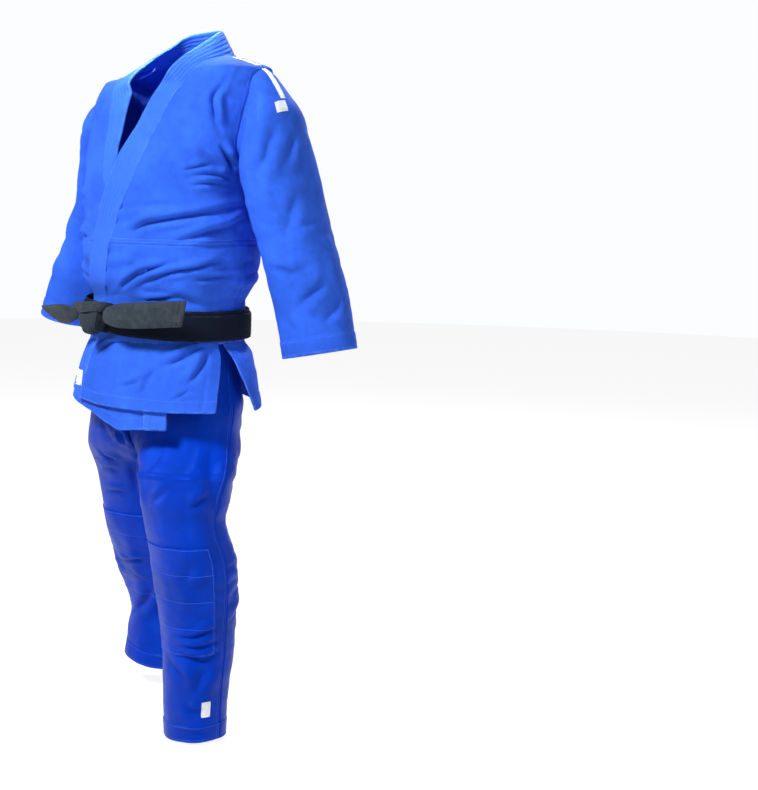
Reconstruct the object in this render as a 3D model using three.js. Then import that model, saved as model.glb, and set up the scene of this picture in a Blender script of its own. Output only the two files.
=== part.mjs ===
// A judo uniform as it hangs on its wearer: jacket, trousers and a tied belt. Millimetres, +Z up.
// The wearer faces -Y and +X is the wearer's left. The origin is the middle of the neck at the height of
// the shoulder seams, where the shoulders carry the jacket. Every panel is a thin closed shell cut from one
// of four surfaces: the trunk, a sleeve, a trouser leg or the ring of the belt.
import * as THREE from "three";

// Cloth
const WEAVE = 2.4; // thickness of the jacket's weave
const DRILL = 1.6; // thickness of the trousers' drill
const TAPE = 0.9; // thickness of tape and woven labels
const LAPEL = 6; // thickness of the stitched lapel band
const GAP = 0.6; // clearance between two pieces that are sewn together
const SEAM = 2.2; // clearance along the lapel's long seam
const OVERLAP_LIFT = 9; // how far the left front stands off the right front it covers

// Heights, measured from the collar's top edge
const NECK = { y: 38, z: -65 };
const YOKE_SEAM = -200;
const WAIST_SEAM = -438;
const BELT_MIDDLE = -590;
const BELT_WIDTH = 50;
const SKIRT_TOP = -636;
const ARMHOLE = { top: -100, bottom: -292, ridge: 204, under: 190, hollow: 24 };
const LEG_SPLIT = -905;
const WAISTBAND = { top: -588, bottom: -626 };
const SHOULDER_TILT = 0.055; // the left shoulder stands this share of x higher

// Trunk: height, half width, centre y, depth in front of the centre, depth behind it
const TRUNK = [
  [-65, 104, 38, 50, 58],
  [-74, 134, 37, 72, 70],
  [-86, 172, 35, 94, 82],
  [-100, 204, 33, 112, 90],
  [-126, 207, 31, 132, 96],
  [-171, 207, 26, 153, 104],
  [-223, 205, 19, 164, 113],
  [-260, 199, 13, 172, 118],
  [-292, 190, 9, 176, 122],
  [-350, 188, 4, 178, 126],
  [-438, 190, 0, 174, 128],
  [-510, 192, -4, 164, 124],
  [-555, 176, -8, 149, 108],
  [-635, 171, -10, 147, 104],
  [-665, 186, -12, 158, 112],
  [-745, 206, -14, 176, 120],
  [-830, 222, -16, 188, 126],
];
const TRUNK_POWER = 2.3;

// Lapel on the front: height of the outer seam, its x, then height and x of the free edge.
// Left side first, then the right side, whose x counts from the middle towards the wearer's right.
const LAPEL_FRONT = {
  left: [
    [-760, -88, -740, -124],
    [-735, -83, -725, -119],
    [-708, -79, -704, -115],
    [-680, -74, -678, -111],
    [-655, -69, -654, -107],
    [SKIRT_TOP, -65, SKIRT_TOP, -104],
    [-608, -58, -608, -101],
    [-578, -50, -578, -96],
    [-548, -42, -548, -91],
    [-514, -33, -514, -83],
    [-476, -22, -476, -73],
    [WAIST_SEAM, -9, WAIST_SEAM, -61],
    [-405, 4, -401, -48],
    [-374, 18, -367, -35],
    [-342, 33, -332, -20],
    [-308, 47, -297, -9],
    [-274, 60, -262, 2],
    [-248, 68, -235, 14],
    [-225, 75, -208, 32],
    [-200, 83, -182, 44],
    [-176, 90, -156, 57],
    [-148, 98, -124, 67],
  ],
  right: [
    [-801, -88, -800, -131],
    [-760, -84, -760, -126],
    [-724, -80, -724, -121],
    [-690, -75, -690, -116],
    [-660, -69, -660, -110],
    [SKIRT_TOP, -65, SKIRT_TOP, -105],
    [-608, -58, -608, -101],
    [-578, -50, -578, -96],
    [-548, -42, -548, -91],
    [-514, -33, -514, -83],
    [-476, -22, -476, -73],
    [WAIST_SEAM, -9, WAIST_SEAM, -61],
    [-405, 4, -401, -47],
    [-374, 16, -367, -33],
    [-342, 28, -332, -20],
    [-308, 39, -300, -9],
    [-274, 48, -268, -1],
    [-248, 54, -243, 4],
    [-225, 58, -220, 9],
    [-200, 63, -194, 14],
    [-176, 69, -168, 20],
    [-148, 78, -138, 30],
  ],
};
// The two edges of the lapel round the neck, as points: outer seam, then free edge
const LAPEL_NECK = {
  left: [
    [104, -88, -122, 75, -105, -98],
    [108, -63, -98, 81, -80, -74],
    [109, -26, -79, 83, -38, -50],
    [106, 16, -69, 82, 8, -27],
    [97, 56, -60, 78, 40, -12],
    [78, 84, -53, 61, 66, -6],
    [44, 99, -50, 34, 80, -4],
    [0, 104, -49, 0, 84, -5],
  ],
  right: [
    [90, -95, -122, 44, -104, -112],
    [101, -68, -99, 62, -64, -92],
    [107, -28, -81, 75, -16, -76],
    [106, 16, -70, 77, 24, -52],
    [97, 56, -61, 66, 58, -31],
    [78, 84, -54, 54, 72, -18],
    [44, 99, -50, 31, 81, -9],
    [0, 104, -49, 0, 84, -5],
  ],
};

// Sleeve rings: outer point x, z, inner point x, z, half depth front to back, centre y
const SLEEVE = {
  left: [
    [262, -150, 197, -306, 84, 30],
    [281, -196, 197, -326, 92, 27],
    [300, -262, 200, -352, 97, 32],
    [322, -362, 206, -405, 97, 46],
    [346, -462, 218, -484, 93, 65],
    [364, -540, 228, -566, 86, 82],
    [383, -638, 241, -668, 80, 89],
  ],
  right: [
    [258, -158, 197, -306, 84, 38],
    [276, -204, 197, -326, 90, 46],
    [296, -268, 200, -350, 92, 54],
    [320, -352, 206, -396, 92, 57],
    [342, -440, 218, -464, 90, 44],
    [360, -514, 228, -540, 85, 22],
    [376, -600, 236, -632, 80, 2],
  ],
};

// Trouser legs: height, centre x, half width, half depth, centre y. Above the split the two legs meet at x = 0.
const SEAT_ROWS = [
  [-588, 0, 158, 96],
  [-640, 0, 158, 96],
  [-700, 4, 164, 104],
  [-760, 16, 168, 112],
  [-820, 40, 146, 112],
  [-865, 82, 116, 108],
  [LEG_SPLIT, 109, 101, 98],
];
const seatRows = (centres) => SEAT_ROWS.map((row, i) => [...row, centres[i]]);
const LEG = {
  left: [
    ...seatRows([-10, -12, -20, -30, -42, -62, -88]),
    [-957, 113, 95, 89, -98],
    [-997, 118, 86, 80, -103],
    [-1082, 130, 90, 85, -86],
    [-1166, 137, 84, 78, -85],
    [-1250, 142, 76, 71, -87],
    [-1332, 146, 72, 67, -97],
    [-1460, 150, 66, 60, -107],
  ],
  right: [
    ...seatRows([-10, -12, -20, -28, -34, -24, -4]),
    [-960, 120, 94, 88, 14],
    [-1062, 133, 86, 78, 33],
    [-1161, 142, 82, 74, 74],
    [-1212, 145, 80, 72, 96],
    [-1275, 147, 76, 68, 110],
    [-1320, 148, 76, 68, 100],
    [-1410, 150, 74, 66, 92],
  ],
};
const HEM = { left: -1440, right: -1390 };
const HEM_SLOPE = { left: 0.05, right: 0.18 }; // the outer side of the hem is higher by this share

const BLUE = new THREE.MeshStandardMaterial({ color: 0x1c50e0, roughness: 0.85, metalness: 0 });
const DEEP_BLUE = new THREE.MeshStandardMaterial({ color: 0x1238b4, roughness: 0.6, metalness: 0 });
const BLACK = new THREE.MeshStandardMaterial({ color: 0x1a1b20, roughness: 0.8, metalness: 0 });
const WHITE = new THREE.MeshStandardMaterial({ color: 0xe8eefc, roughness: 0.7, metalness: 0 });

const uniform = new THREE.Group();
uniform.position.set(0, -NECK.y, -NECK.z);

const SIDES = [[1, "left"], [-1, "right"]];
const hand = (side) => (side > 0 ? "left" : "right");
const mix = (a, b, t) => a + (b - a) * t;
const radians = THREE.MathUtils.degToRad;

/** Runs smoothly from 0 to 1 as x goes from one value to another, in either direction. */
const fade = (x, from, to) => {
  const t = THREE.MathUtils.clamp((x - from) / (to - from), 0, 1);
  return t * t * (3 - 2 * t);
};

/** A table of rows [position, value...] as a function, straight between rows. */
function steps(rows) {
  const rising = [...rows].sort((a, b) => a[0] - b[0]);
  return (t, k = 1) => {
    let i = 0;
    while (i < rising.length - 2 && t > rising[i + 1][0]) i += 1;
    const [from, to] = [rising[i], rising[i + 1]];
    return mix(from[k], to[k], THREE.MathUtils.clamp((t - from[0]) / (to[0] - from[0]), 0, 1));
  };
}

/** A table of falling heights as a function that passes smoothly through every row without overshooting. */
function through(table) {
  const slope = (i, k) => (table[i + 1][k] - table[i][k]) / (table[i + 1][0] - table[i][0]);
  const tangent = (i, k) => {
    if (i === 0) return slope(0, k);
    if (i === table.length - 1) return slope(i - 1, k);
    const [before, after] = [slope(i - 1, k), slope(i, k)];
    return before * after <= 0 ? 0 : (2 * before * after) / (before + after);
  };
  return (z) => {
    let i = 0;
    while (i < table.length - 2 && z < table[i + 1][0]) i += 1;
    const step = table[i + 1][0] - table[i][0];
    const t = THREE.MathUtils.clamp((z - table[i][0]) / step, 0, 1);
    const [t2, t3] = [t * t, t * t * t];
    return table[i].slice(1).map((_, n) => {
      const k = n + 1;
      return (2 * t3 - 3 * t2 + 1) * table[i][k] + (t3 - 2 * t2 + t) * step * tangent(i, k)
        + (3 * t2 - 2 * t3) * table[i + 1][k] + (t3 - t2) * step * tangent(i + 1, k);
    });
  };
}

const trunkRow = through(TRUNK);
const legRow = { left: through(LEG.left), right: through(LEG.right) };

/** How far the tilt of the shoulders raises a point of the trunk. */
const tilt = (x, z) => SHOULDER_TILT * x * fade(z, -420, -200);

/** A point of the trunk: phi is 0 at the front middle and a quarter turn at the wearer's left. */
function trunkPoint(phi, z) {
  const [width, centre, front, back] = trunkRow(z);
  const [s, c] = [Math.sin(phi), Math.cos(phi)];
  const depth = c > 0 ? front : back;
  const r = ((Math.abs(s) / width) ** TRUNK_POWER + (Math.abs(c) / depth) ** TRUNK_POWER) ** (-1 / TRUNK_POWER);
  return new THREE.Vector3(r * s, centre - r * c, z + tilt(r * s, z));
}

/** The angle at which the trunk's front, or its back, is x from the middle at a height. */
function trunkAngle(x, z, behind = false) {
  const [width, , front, back] = trunkRow(z);
  const share = Math.min(1, Math.abs(x) / width);
  const depth = (behind ? back : front) * (1 - share ** TRUNK_POWER) ** (1 / TRUNK_POWER);
  return Math.atan2(x, behind ? -depth : depth);
}

/** Point and outward normal of a surface given as a function of two parameters. */
function withNormal(surface, a, b, da, db) {
  const alongA = surface(a + da, b).sub(surface(a - da, b));
  const alongB = surface(a, b + db).sub(surface(a, b - db));
  return { point: surface(a, b), normal: alongA.cross(alongB).normalize() };
}

const trunk = (phi, z) => withNormal(trunkPoint, phi, z, 0.01, 1);

/** The x of the armhole's front or back seam at a height. */
function armholeX(z, behind = false) {
  const t = THREE.MathUtils.clamp((ARMHOLE.top - z) / (ARMHOLE.top - ARMHOLE.bottom), 0, 1);
  const hollow = behind ? ARMHOLE.hollow * 4 * t * (1 - t) : 0;
  return ARMHOLE.ridge - (ARMHOLE.ridge - ARMHOLE.under) * t * t - hollow;
}

/** How far the left front stands off the trunk to cover the right front and its lapel. */
const lift = (phi, z) => OVERLAP_LIFT * fade(Math.abs(phi), radians(74), radians(48)) * fade(z, -105, -165);

/** Volume of an indexed closed mesh, positive when its faces point out. */
function signedVolume(points, faces) {
  return faces.reduce((sum, [a, b, c]) => sum + points[a].dot(points[b].clone().cross(points[c])), 0) / 6;
}

/** A closed mesh from points and faces, its faces turned to point out. */
function solid(points, faces) {
  const turned = signedVolume(points, faces) < 0 ? faces.map(([a, b, c]) => [a, c, b]) : faces;
  return new THREE.BufferGeometry().setFromPoints(points).setIndex(turned.flat());
}

/** A cloth shell on a grid over at(u, v), between two offsets from it; closed makes it a ring along u. */
function shell(at, columns, rows, inner, outer, closed = false) {
  const across = closed ? columns : columns + 1;
  const value = (offset, u, v) => (typeof offset === "function" ? offset(u, v) : offset);
  const points = [];
  for (const offset of [inner, outer])
    for (let j = 0; j <= rows; j += 1)
      for (let i = 0; i < across; i += 1) {
        const [u, v] = [i / columns, j / rows];
        const { point, normal } = at(u, v);
        points.push(point.clone().addScaledVector(normal, value(offset, u, v)));
      }
  const id = (side, i, j) => (side * (rows + 1) + j) * across + (i % across);
  const faces = [];
  const quad = (a, b, c, d) => faces.push([a, b, c], [a, c, d]);
  for (let j = 0; j < rows; j += 1)
    for (let i = 0; i < columns; i += 1) {
      quad(id(1, i, j), id(1, i + 1, j), id(1, i + 1, j + 1), id(1, i, j + 1));
      quad(id(0, i, j), id(0, i, j + 1), id(0, i + 1, j + 1), id(0, i + 1, j));
    }
  for (let i = 0; i < columns; i += 1) {
    quad(id(0, i, 0), id(0, i + 1, 0), id(1, i + 1, 0), id(1, i, 0));
    quad(id(0, i, rows), id(1, i, rows), id(1, i + 1, rows), id(0, i + 1, rows));
  }
  if (!closed)
    for (let j = 0; j < rows; j += 1) {
      quad(id(0, 0, j), id(1, 0, j), id(1, 0, j + 1), id(0, 0, j + 1));
      quad(id(0, columns, j), id(0, columns, j + 1), id(1, columns, j + 1), id(1, columns, j));
    }
  return solid(points, faces);
}

function add(name, geometry, material) {
  const mesh = new THREE.Mesh(geometry, material);
  mesh.name = name;
  uniform.add(mesh);
  return mesh;
}

// ---- Jacket: body panels ----
const SIDE = Math.PI / 2;
const SEAM_ANGLE = GAP / 180; // half a seam's clearance, seen from the middle of the trunk
const seamX = {};
for (const [side, name] of SIDES) {
  const neck = LAPEL_NECK[name].slice(0, 3).map(([x, , z]) => [z - tilt(side * x, z), x]);
  seamX[name] = steps([...LAPEL_FRONT[name], ...neck]);
}

/** The angle of a front panel's edge along the lapel at a height. */
function lapelAngle(side, z) {
  const x = seamX[hand(side)](z) + SEAM;
  return Math.min(SIDE - SEAM_ANGLE, trunkAngle(Math.abs(x), z)) * Math.sign(x);
}

/** A shell on one front, lifted where the left front covers the right one. */
function frontShell(side, phiAt, zAt, columns, rows) {
  const at = (u, v) => trunk(side * phiAt(u, v), zAt(u, v));
  const offset = (u, v) => (side > 0 ? lift(phiAt(u, v), zAt(u, v)) : 0);
  return shell(at, columns, rows, offset, (u, v) => offset(u, v) + WEAVE);
}

/** A front above the waist seam: it runs from the lapel out to the side seam, the armhole and the shoulder. */
function frontBody(side) {
  const innerZ = steps([WAIST_SEAM, -405, -374, -342, -308, -274, -248, -225, -200, -176, -148, -122, -98, -79,
    NECK.z - 2].map((z, i) => [i / 14, z]));
  const outerZ = steps([WAIST_SEAM, -405, -374, -345, -318, ARMHOLE.bottom, -268, -244, -220, -196, -172, -150, -130,
    -112, ARMHOLE.top].map((z, i) => [i / 14, z]));
  const ridge = SIDE - SEAM_ANGLE;
  const zAt = (u, v) => mix(innerZ(v), outerZ(v), u);
  const phiAt = (u, v) => {
    const [zIn, zOut] = [innerZ(v), outerZ(v)];
    const inner = v === 1 ? ridge : lapelAngle(side, zIn);
    const outer = zOut > ARMHOLE.bottom && v < 1 ? Math.min(ridge, trunkAngle(armholeX(zOut) - 2, zOut)) : ridge;
    return mix(inner, outer, u);
  };
  return frontShell(side, phiAt, zAt, 8, 14);
}

/** A front panel between two heights, from the lapel round to a given angle at the side. */
function frontPanel(side, top, bottomAt, columns, rows, sideAngle) {
  const zAt = (u, v) => mix(bottomAt(u), top, v);
  const phiAt = (u, v) => mix(lapelAngle(side, zAt(0, v)), sideAngle(v), u);
  return frontShell(side, phiAt, zAt, columns, rows);
}

/** The back between two heights, from one side seam or armhole to the other. */
function backPanel(topAt, bottomAt, columns, rows, sideAngle = () => SIDE + SEAM_ANGLE, topShare = (u) => u) {
  const zAt = (u, v) => mix(bottomAt(u), topAt(u), v);
  const at = (u, v) => {
    const z = zAt(0, v);
    const armhole = z > ARMHOLE.bottom ? trunkAngle(armholeX(z, true) - 2, z, true) : 0;
    const edge = Math.max(sideAngle(v), armhole);
    return trunk(mix(edge, 2 * Math.PI - edge, mix(u, topShare(u), v ** 2)), zAt(u, v));
  };
  return shell(at, columns, rows, 0, WEAVE);
}

const toSideSeam = () => SIDE - SEAM_ANGLE;
const level = (z) => () => z;
const yokeTop = steps([[0, ARMHOLE.top], [0.25, NECK.z - 2], [0.75, NECK.z - 2], [1, ARMHOLE.top]]);
const yokeShare = steps([[0, 0], [0.25, 0], [0.75, 1], [1, 1]]);
for (const [side, name] of SIDES) {
  add(`${name}_front_body`, frontBody(side), BLUE);
  add(`${name}_front_waist`, frontPanel(side, WAIST_SEAM - GAP, level(SKIRT_TOP), 10, 6, toSideSeam), BLUE);
}
add("back_yoke", backPanel(yokeTop, level(YOKE_SEAM + GAP), 16, 5, undefined, yokeShare), BLUE);
add("back_body", backPanel(level(YOKE_SEAM), level(WAIST_SEAM), 12, 6), BLUE);
add("back_waist", backPanel(level(WAIST_SEAM - GAP), level(SKIRT_TOP), 12, 6), BLUE);

// ---- Jacket: skirt flaps below the belt, open at both sides ----
const FLAP_TOP = SKIRT_TOP - GAP;
const VENT = { frontTop: radians(74), frontHem: radians(66), backTop: radians(80), backHem: radians(96) };
const outerHem = steps([[0, -757], [0.2, -763], [1, -768]]);
const innerHem = steps([[0, -801], [0.22, -808], [0.5, -778], [1, -752]]);
const backHem = steps([[0, -772], [0.3, -757], [0.7, -757], [1, -772]]);
const frontVent = (v) => mix(VENT.frontHem, VENT.frontTop, v);
const backVent = (v) => mix(VENT.backHem, VENT.backTop, v);
add("outer_front_skirt", frontPanel(1, FLAP_TOP, outerHem, 11, 5, frontVent), BLUE);
add("inner_front_skirt", frontPanel(-1, FLAP_TOP, innerHem, 11, 5, frontVent), BLUE);
add("back_skirt", backPanel(level(FLAP_TOP), backHem, 14, 4, backVent), BLUE);

// ---- Jacket: lapel band ----

/** The two edges of the lapel on one side as lists of points, from the nape down to the skirt's hem. */
function lapelEdges(side) {
  const name = hand(side);
  const edges = [[], []];
  for (const row of [...LAPEL_NECK[name]].reverse())
    edges.forEach((list, k) => list.push(new THREE.Vector3(side * row[3 * k], row[3 * k + 1], row[3 * k + 2])));
  for (const row of [...LAPEL_FRONT[name]].reverse())
    edges.forEach((list, k) => {
      const [z, x] = [row[2 * k], row[2 * k + 1]];
      const phi = trunkAngle(side * x, z);
      const { point, normal } = trunk(phi, z);
      list.push(point.addScaledVector(normal, (side > 0 ? lift(phi, z) : 0) + 2));
    });
  return edges;
}

/** A band of even thickness between two edges, from one station to another; ends are trimmed by small shares. */
function band([outer, free], from, to, trimFrom, trimTo) {
  const count = to - from;
  const station = (k) => {
    const t = from + (k === 0 ? trimFrom : k === count ? count - trimTo : k);
    const i = Math.min(Math.floor(t), outer.length - 2);
    const [a, b] = [outer, free].map((list) => list[i].clone().lerp(list[i + 1], t - i));
    const [low, high] = [Math.max(0, Math.round(t) - 1), Math.min(outer.length - 1, Math.round(t) + 1)];
    const along = outer[high].clone().sub(outer[low]).add(free[high]).sub(free[low]).normalize();
    const normal = b.clone().sub(a).cross(along).normalize();
    const outward = a.clone().add(b).multiplyScalar(0.5).sub(new THREE.Vector3(0, 20, a.z));
    return { a, b, normal: normal.dot(outward) < 0 ? normal.negate() : normal };
  };
  const at = (u, v) => {
    const { a, b, normal } = station(Math.round(u * count));
    return { point: a.clone().lerp(b, v), normal };
  };
  return shell(at, count, 1, -LAPEL / 2, LAPEL / 2);
}

const JOIN = 0.02; // share of the step between two stations left open where the band is cut
for (const [side, name] of SIDES) {
  const edges = lapelEdges(side);
  const neckEnd = LAPEL_NECK[name].length - 1;
  const last = edges[0].length - 1;
  const skirt = last - LAPEL_FRONT[name].findIndex(([z]) => z === SKIRT_TOP);
  add(`${name}_collar`, band(edges, 0, neckEnd, side > 0 ? 0.01 : 0.03, JOIN), BLUE);
  add(`${name}_lapel`, band(edges, neckEnd, skirt, JOIN, JOIN), BLUE);
  add(`${name}_lapel_end`, band(edges, skirt, last, JOIN, 0), BLUE);
}

// ---- Jacket: sleeves ----

/** The armhole's rim on the left: turn is 0 at the shoulder and a quarter turn at the front. */
function armholePoint(turn) {
  const z = mix(ARMHOLE.bottom, ARMHOLE.top, (1 + Math.cos(turn)) / 2);
  const behind = Math.sin(turn) < 0;
  return trunkPoint(trunkAngle(armholeX(z, behind), z, behind), z);
}

/** A point of a sleeve: turn is 0 along the top and a quarter turn at the front; v is 1 at the cuff. */
function sleevePoint(side, turn, v) {
  const rings = SLEEVE[hand(side)];
  const ring = (k) => {
    if (k <= 0) return armholePoint(turn).setZ(armholePoint(turn).z + (side - 1) * tilt(ARMHOLE.ridge, ARMHOLE.top));
    const [ox, oz, ix, iz, depth, y] = rings[Math.min(k, rings.length) - 1];
    const across = (1 + Math.cos(turn)) / 2;
    return new THREE.Vector3(mix(ix, ox, across), y - depth * Math.sin(turn), mix(iz, oz, across));
  };
  const place = v * rings.length;
  const k = Math.min(Math.floor(place), rings.length - 1);
  const p = ring(k).lerp(ring(k + 1), place - k);
  return p.setX(side * p.x);
}

function sleeveAt(side) {
  const surface = (turn, v) => sleevePoint(side, turn, v);
  return (turn, v) => {
    const found = withNormal(surface, turn, v, 0.02, 0.01);
    if (side < 0) found.normal.negate();
    return found;
  };
}

const SLEEVE_COLUMNS = 18;
const sleeveRow = (k) => k / SLEEVE.left.length;

/** A ring of sleeve through a list of places along it. */
function sleeveRing(side, places, inner, outer) {
  const at = sleeveAt(side);
  const rows = places.length - 1;
  return shell((u, v) => at(2 * Math.PI * u, places[Math.round(v * rows)]), SLEEVE_COLUMNS, rows, inner, outer, true);
}

/** A patch lying on a sleeve, between two turns, through a list of places along it. */
function sleevePatch(side, turns, places, columns, inner, outer) {
  const at = sleeveAt(side);
  const rows = places.length - 1;
  return shell((u, v) => at(mix(...turns, u), places[Math.round(v * rows)]), columns, rows, inner, outer);
}

const ON_WEAVE = WEAVE + GAP;
const SLEEVE_ROWS = [0.075, ...SLEEVE.left.map((_, k) => sleeveRow(k + 1))];
for (const [side, name] of SIDES) {
  add(`${name}_sleeve`, sleeveRing(side, SLEEVE_ROWS, 0, WEAVE), BLUE);
  add(`${name}_cuff_facing`, sleeveRing(side, [0.93, 0.995], -GAP - WEAVE / 2, -GAP), BLUE);
  add(`${name}_sleeve_tape`,
    sleevePatch(side, [-0.02, 0.14], [0.08, 0.135], 2, ON_WEAVE, ON_WEAVE + TAPE), WHITE);
}
add("sleeve_badge", sleevePatch(1, [0.05, 0.4], [0.147, 0.21], 3, ON_WEAVE, ON_WEAVE + TAPE), WHITE);

const TAPE_FORWARD = 10; // how far in front of the shoulder seam the tape lies

/** White tape along the shoulder seam, from the collar towards the armhole. */
function shoulderTape(side) {
  const halfWidth = 7.5;
  const at = (u, v) => {
    const z = mix(NECK.z - 9, ARMHOLE.top + 5, v);
    return trunk(side * (SIDE + ((2 * u - 1) * halfWidth - TAPE_FORWARD) / trunkRow(z)[0]), z);
  };
  return shell(at, 4, 6, ON_WEAVE, ON_WEAVE + TAPE);
}
add("left_shoulder_tape", shoulderTape(1), WHITE);
add("right_shoulder_tape", shoulderTape(-1), WHITE);

/** A woven label on the outer skirt, beside the end of the lapel. */
function skirtLabel() {
  const at = (u, v) => {
    const z = mix(-734, -704, v);
    return trunk(trunkAngle(mix(-112, -88, u), z), z);
  };
  const base = OVERLAP_LIFT + LAPEL + 2 * GAP;
  return shell(at, 2, 2, base, base + TAPE);
}
add("skirt_badge", skirtLabel(), WHITE);

// ---- Belt ----
const BELT = { halfWidth: 184, centre: -10, front: 168, back: 119, thickness: 3, tilt: -10 };

/** A point of the belt's ring, which sits lower on the wearer's left. */
function beltPoint(phi, height, grow) {
  const [s, c] = [Math.sin(phi), Math.cos(phi)];
  const [width, depth] = [BELT.halfWidth + grow, (c > 0 ? BELT.front : BELT.back) + grow];
  const r = ((Math.abs(s) / width) ** TRUNK_POWER + (Math.abs(c) / depth) ** TRUNK_POWER) ** (-1 / TRUNK_POWER);
  return new THREE.Vector3(r * s, BELT.centre - r * c, BELT_MIDDLE + height + BELT.tilt * s);
}

function beltWrap(grow, shift) {
  const surface = (phi, height) => beltPoint(phi, height, grow);
  const at = (u, v) => withNormal(surface, 2 * Math.PI * u, mix(-0.5, 0.5, v) * BELT_WIDTH + shift, 0.01, 1);
  return shell(at, 32, 1, 0, BELT.thickness, true);
}
add("belt_inner_wrap", beltWrap(0, 4), BLACK);
add("belt_outer_wrap", beltWrap(BELT.thickness + GAP, -4), BLACK);

const KNOT = { x: -38, width: 58, depth: 40, height: 62 };
const KNOT_Y = BELT.centre - BELT.front - 2 * (BELT.thickness + GAP) - KNOT.depth / 2 - 1;
const knot = add("belt_knot", new THREE.SphereGeometry(0.5, 14, 10), BLACK);
knot.scale.set(KNOT.width, KNOT.depth, KNOT.height);
knot.position.set(KNOT.x, KNOT_Y, BELT_MIDDLE + 1);

/** A free end of the belt: a flat strap through a list of points, its tip twisted and cut at a slant. */
function beltEnd(points, twist, slant) {
  const curve = new THREE.CatmullRomCurve3(points.map((p) => new THREE.Vector3(...p)));
  const at = (u, v) => {
    const along = curve.getTangent(u);
    const flat = new THREE.Vector3(along.y, -along.x, 0).multiplyScalar(Math.sign(along.x)).normalize();
    const lean = twist * fade(u, 0.2, 1);
    const width = mix(0.5, 1, fade(u, 0, 0.5)) * BELT_WIDTH;
    const across = new THREE.Vector3(0, 0, Math.cos(lean)).addScaledVector(flat, Math.sin(lean));
    const normal = flat.clone().multiplyScalar(Math.cos(lean)).add(new THREE.Vector3(0, 0, -Math.sin(lean)));
    const point = curve.getPoint(u).addScaledVector(across, (v - 0.5) * width);
    return { point: point.addScaledVector(along, (v - 0.5) * slant * u), normal };
  };
  return shell(at, 8, 1, -BELT.thickness / 2, BELT.thickness / 2);
}
add("left_belt_end", beltEnd([[-2, -212, -578], [60, -209, -577], [120, -190, -573], [166, -158, -569]], 0, 10),
  BLACK);
add("right_belt_end", beltEnd([[-77, -211, -583], [-105, -210, -582], [-150, -196, -588], [-186, -178, -592]],
  0.7, 34), BLACK);

// ---- Trousers ----

/** A point of a leg: s runs from the inner edge round the front, the outside and the back to the inner edge. */
function legPoint(side, s, z) {
  const [centre, width, depth, middle] = legRow[hand(side)](z);
  const [, , , other] = legRow[hand(-side)](z);
  const open = Math.acos(Math.min(1, centre / width));
  const angle = mix(open, 2 * Math.PI - open, s);
  const x = centre - width * Math.cos(angle) + GAP / 2;
  const shared = mix((middle + other) / 2, middle, fade(x, 0, 60));
  return new THREE.Vector3(side * x, shared - depth * Math.sin(angle), z);
}

function legAt(side) {
  const surface = (s, z) => legPoint(side, s, z);
  return (s, z) => {
    const found = withNormal(surface, s, z, 0.002, 1);
    if (side < 0) found.normal.negate();
    return found;
  };
}

/** The height of the hem, which follows the slope of the hem across the leg. */
function hemHeight(side, s) {
  const name = hand(side);
  const [centre] = legRow[name](HEM[name]);
  return HEM[name] + HEM_SLOPE[name] * (Math.abs(legPoint(side, s, HEM[name]).x) - centre);
}

/** A trouser panel between two shares of the way round; v runs from its lower edge to its upper one. */
function legPanel(side, round, lowAt, highAt, columns, rows, inner = 0, outer = DRILL) {
  const at = legAt(side);
  return shell((u, v) => at(mix(...round, u), mix(lowAt(mix(...round, u)), highAt, v)), columns, rows, inner, outer);
}

const HALF = { front: [0.002, 0.4985], back: [0.5015, 0.998] };
const COLUMNS = 8;
const ROWS = 12;
const LOWER_TOP = LEG_SPLIT - GAP / 2;
const UPPER_LOW = LEG_SPLIT + GAP / 2;
const ON_DRILL = DRILL + GAP;

/** A piece that follows the grid of a leg's front panel, so that it lies parallel to it. */
function onLeg(side, columns, rows, inner, outer) {
  const [from, to] = columns.map((k) => mix(...HALF.front, k / COLUMNS));
  const at = legAt(side);
  const place = (u, v) => {
    const s = mix(from, to, u);
    return at(s, mix(hemHeight(side, s), LOWER_TOP, mix(...rows, v) / ROWS));
  };
  const rowCount = Math.max(1, Math.round(rows[1] - rows[0]));
  return shell(place, Math.max(1, Math.round(columns[1] - columns[0])), rowCount, inner, outer);
}

for (const [side, name] of SIDES) {
  const hem = (s) => hemHeight(side, s);
  for (const [face, round] of Object.entries(HALF)) {
    add(`${name}_${face}_seat`, legPanel(side, round, level(UPPER_LOW), WAISTBAND.bottom - GAP, COLUMNS, 8),
      DEEP_BLUE);
    add(`${name}_leg_${face}`, legPanel(side, round, hem, LOWER_TOP, COLUMNS, ROWS), DEEP_BLUE);
  }
  add(`${name}_knee_patch`, onLeg(side, [1, 7], [4, 9], ON_DRILL, ON_DRILL + DRILL), DEEP_BLUE);
  add(`${name}_hem_facing`,
    legPanel(side, [0.002, 0.998], (s) => hem(s) + 1, HEM[name] + 36, 16, 1, -GAP - 1.2, -GAP - 0.2), DEEP_BLUE);
}
add("trouser_badge", onLeg(1, [6.25, 6.95], [1.15, 1.85], ON_DRILL, ON_DRILL + TAPE), WHITE);

/** The waistband, a closed channel of folded drill. */
function waistband() {
  const at = (u, v) => {
    const angle = 2 * Math.PI * u;
    const z = mix(WAISTBAND.bottom, WAISTBAND.top, v);
    const [, width, depth, centre] = legRow.left(z);
    const normal = new THREE.Vector3(Math.cos(angle), Math.sin(angle), 0);
    return { point: new THREE.Vector3(width * Math.cos(angle), centre + depth * Math.sin(angle), z), normal };
  };
  return shell(at, 28, 1, -DRILL, 2 * DRILL, true);
}
add("waistband", waistband(), DEEP_BLUE);

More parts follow.
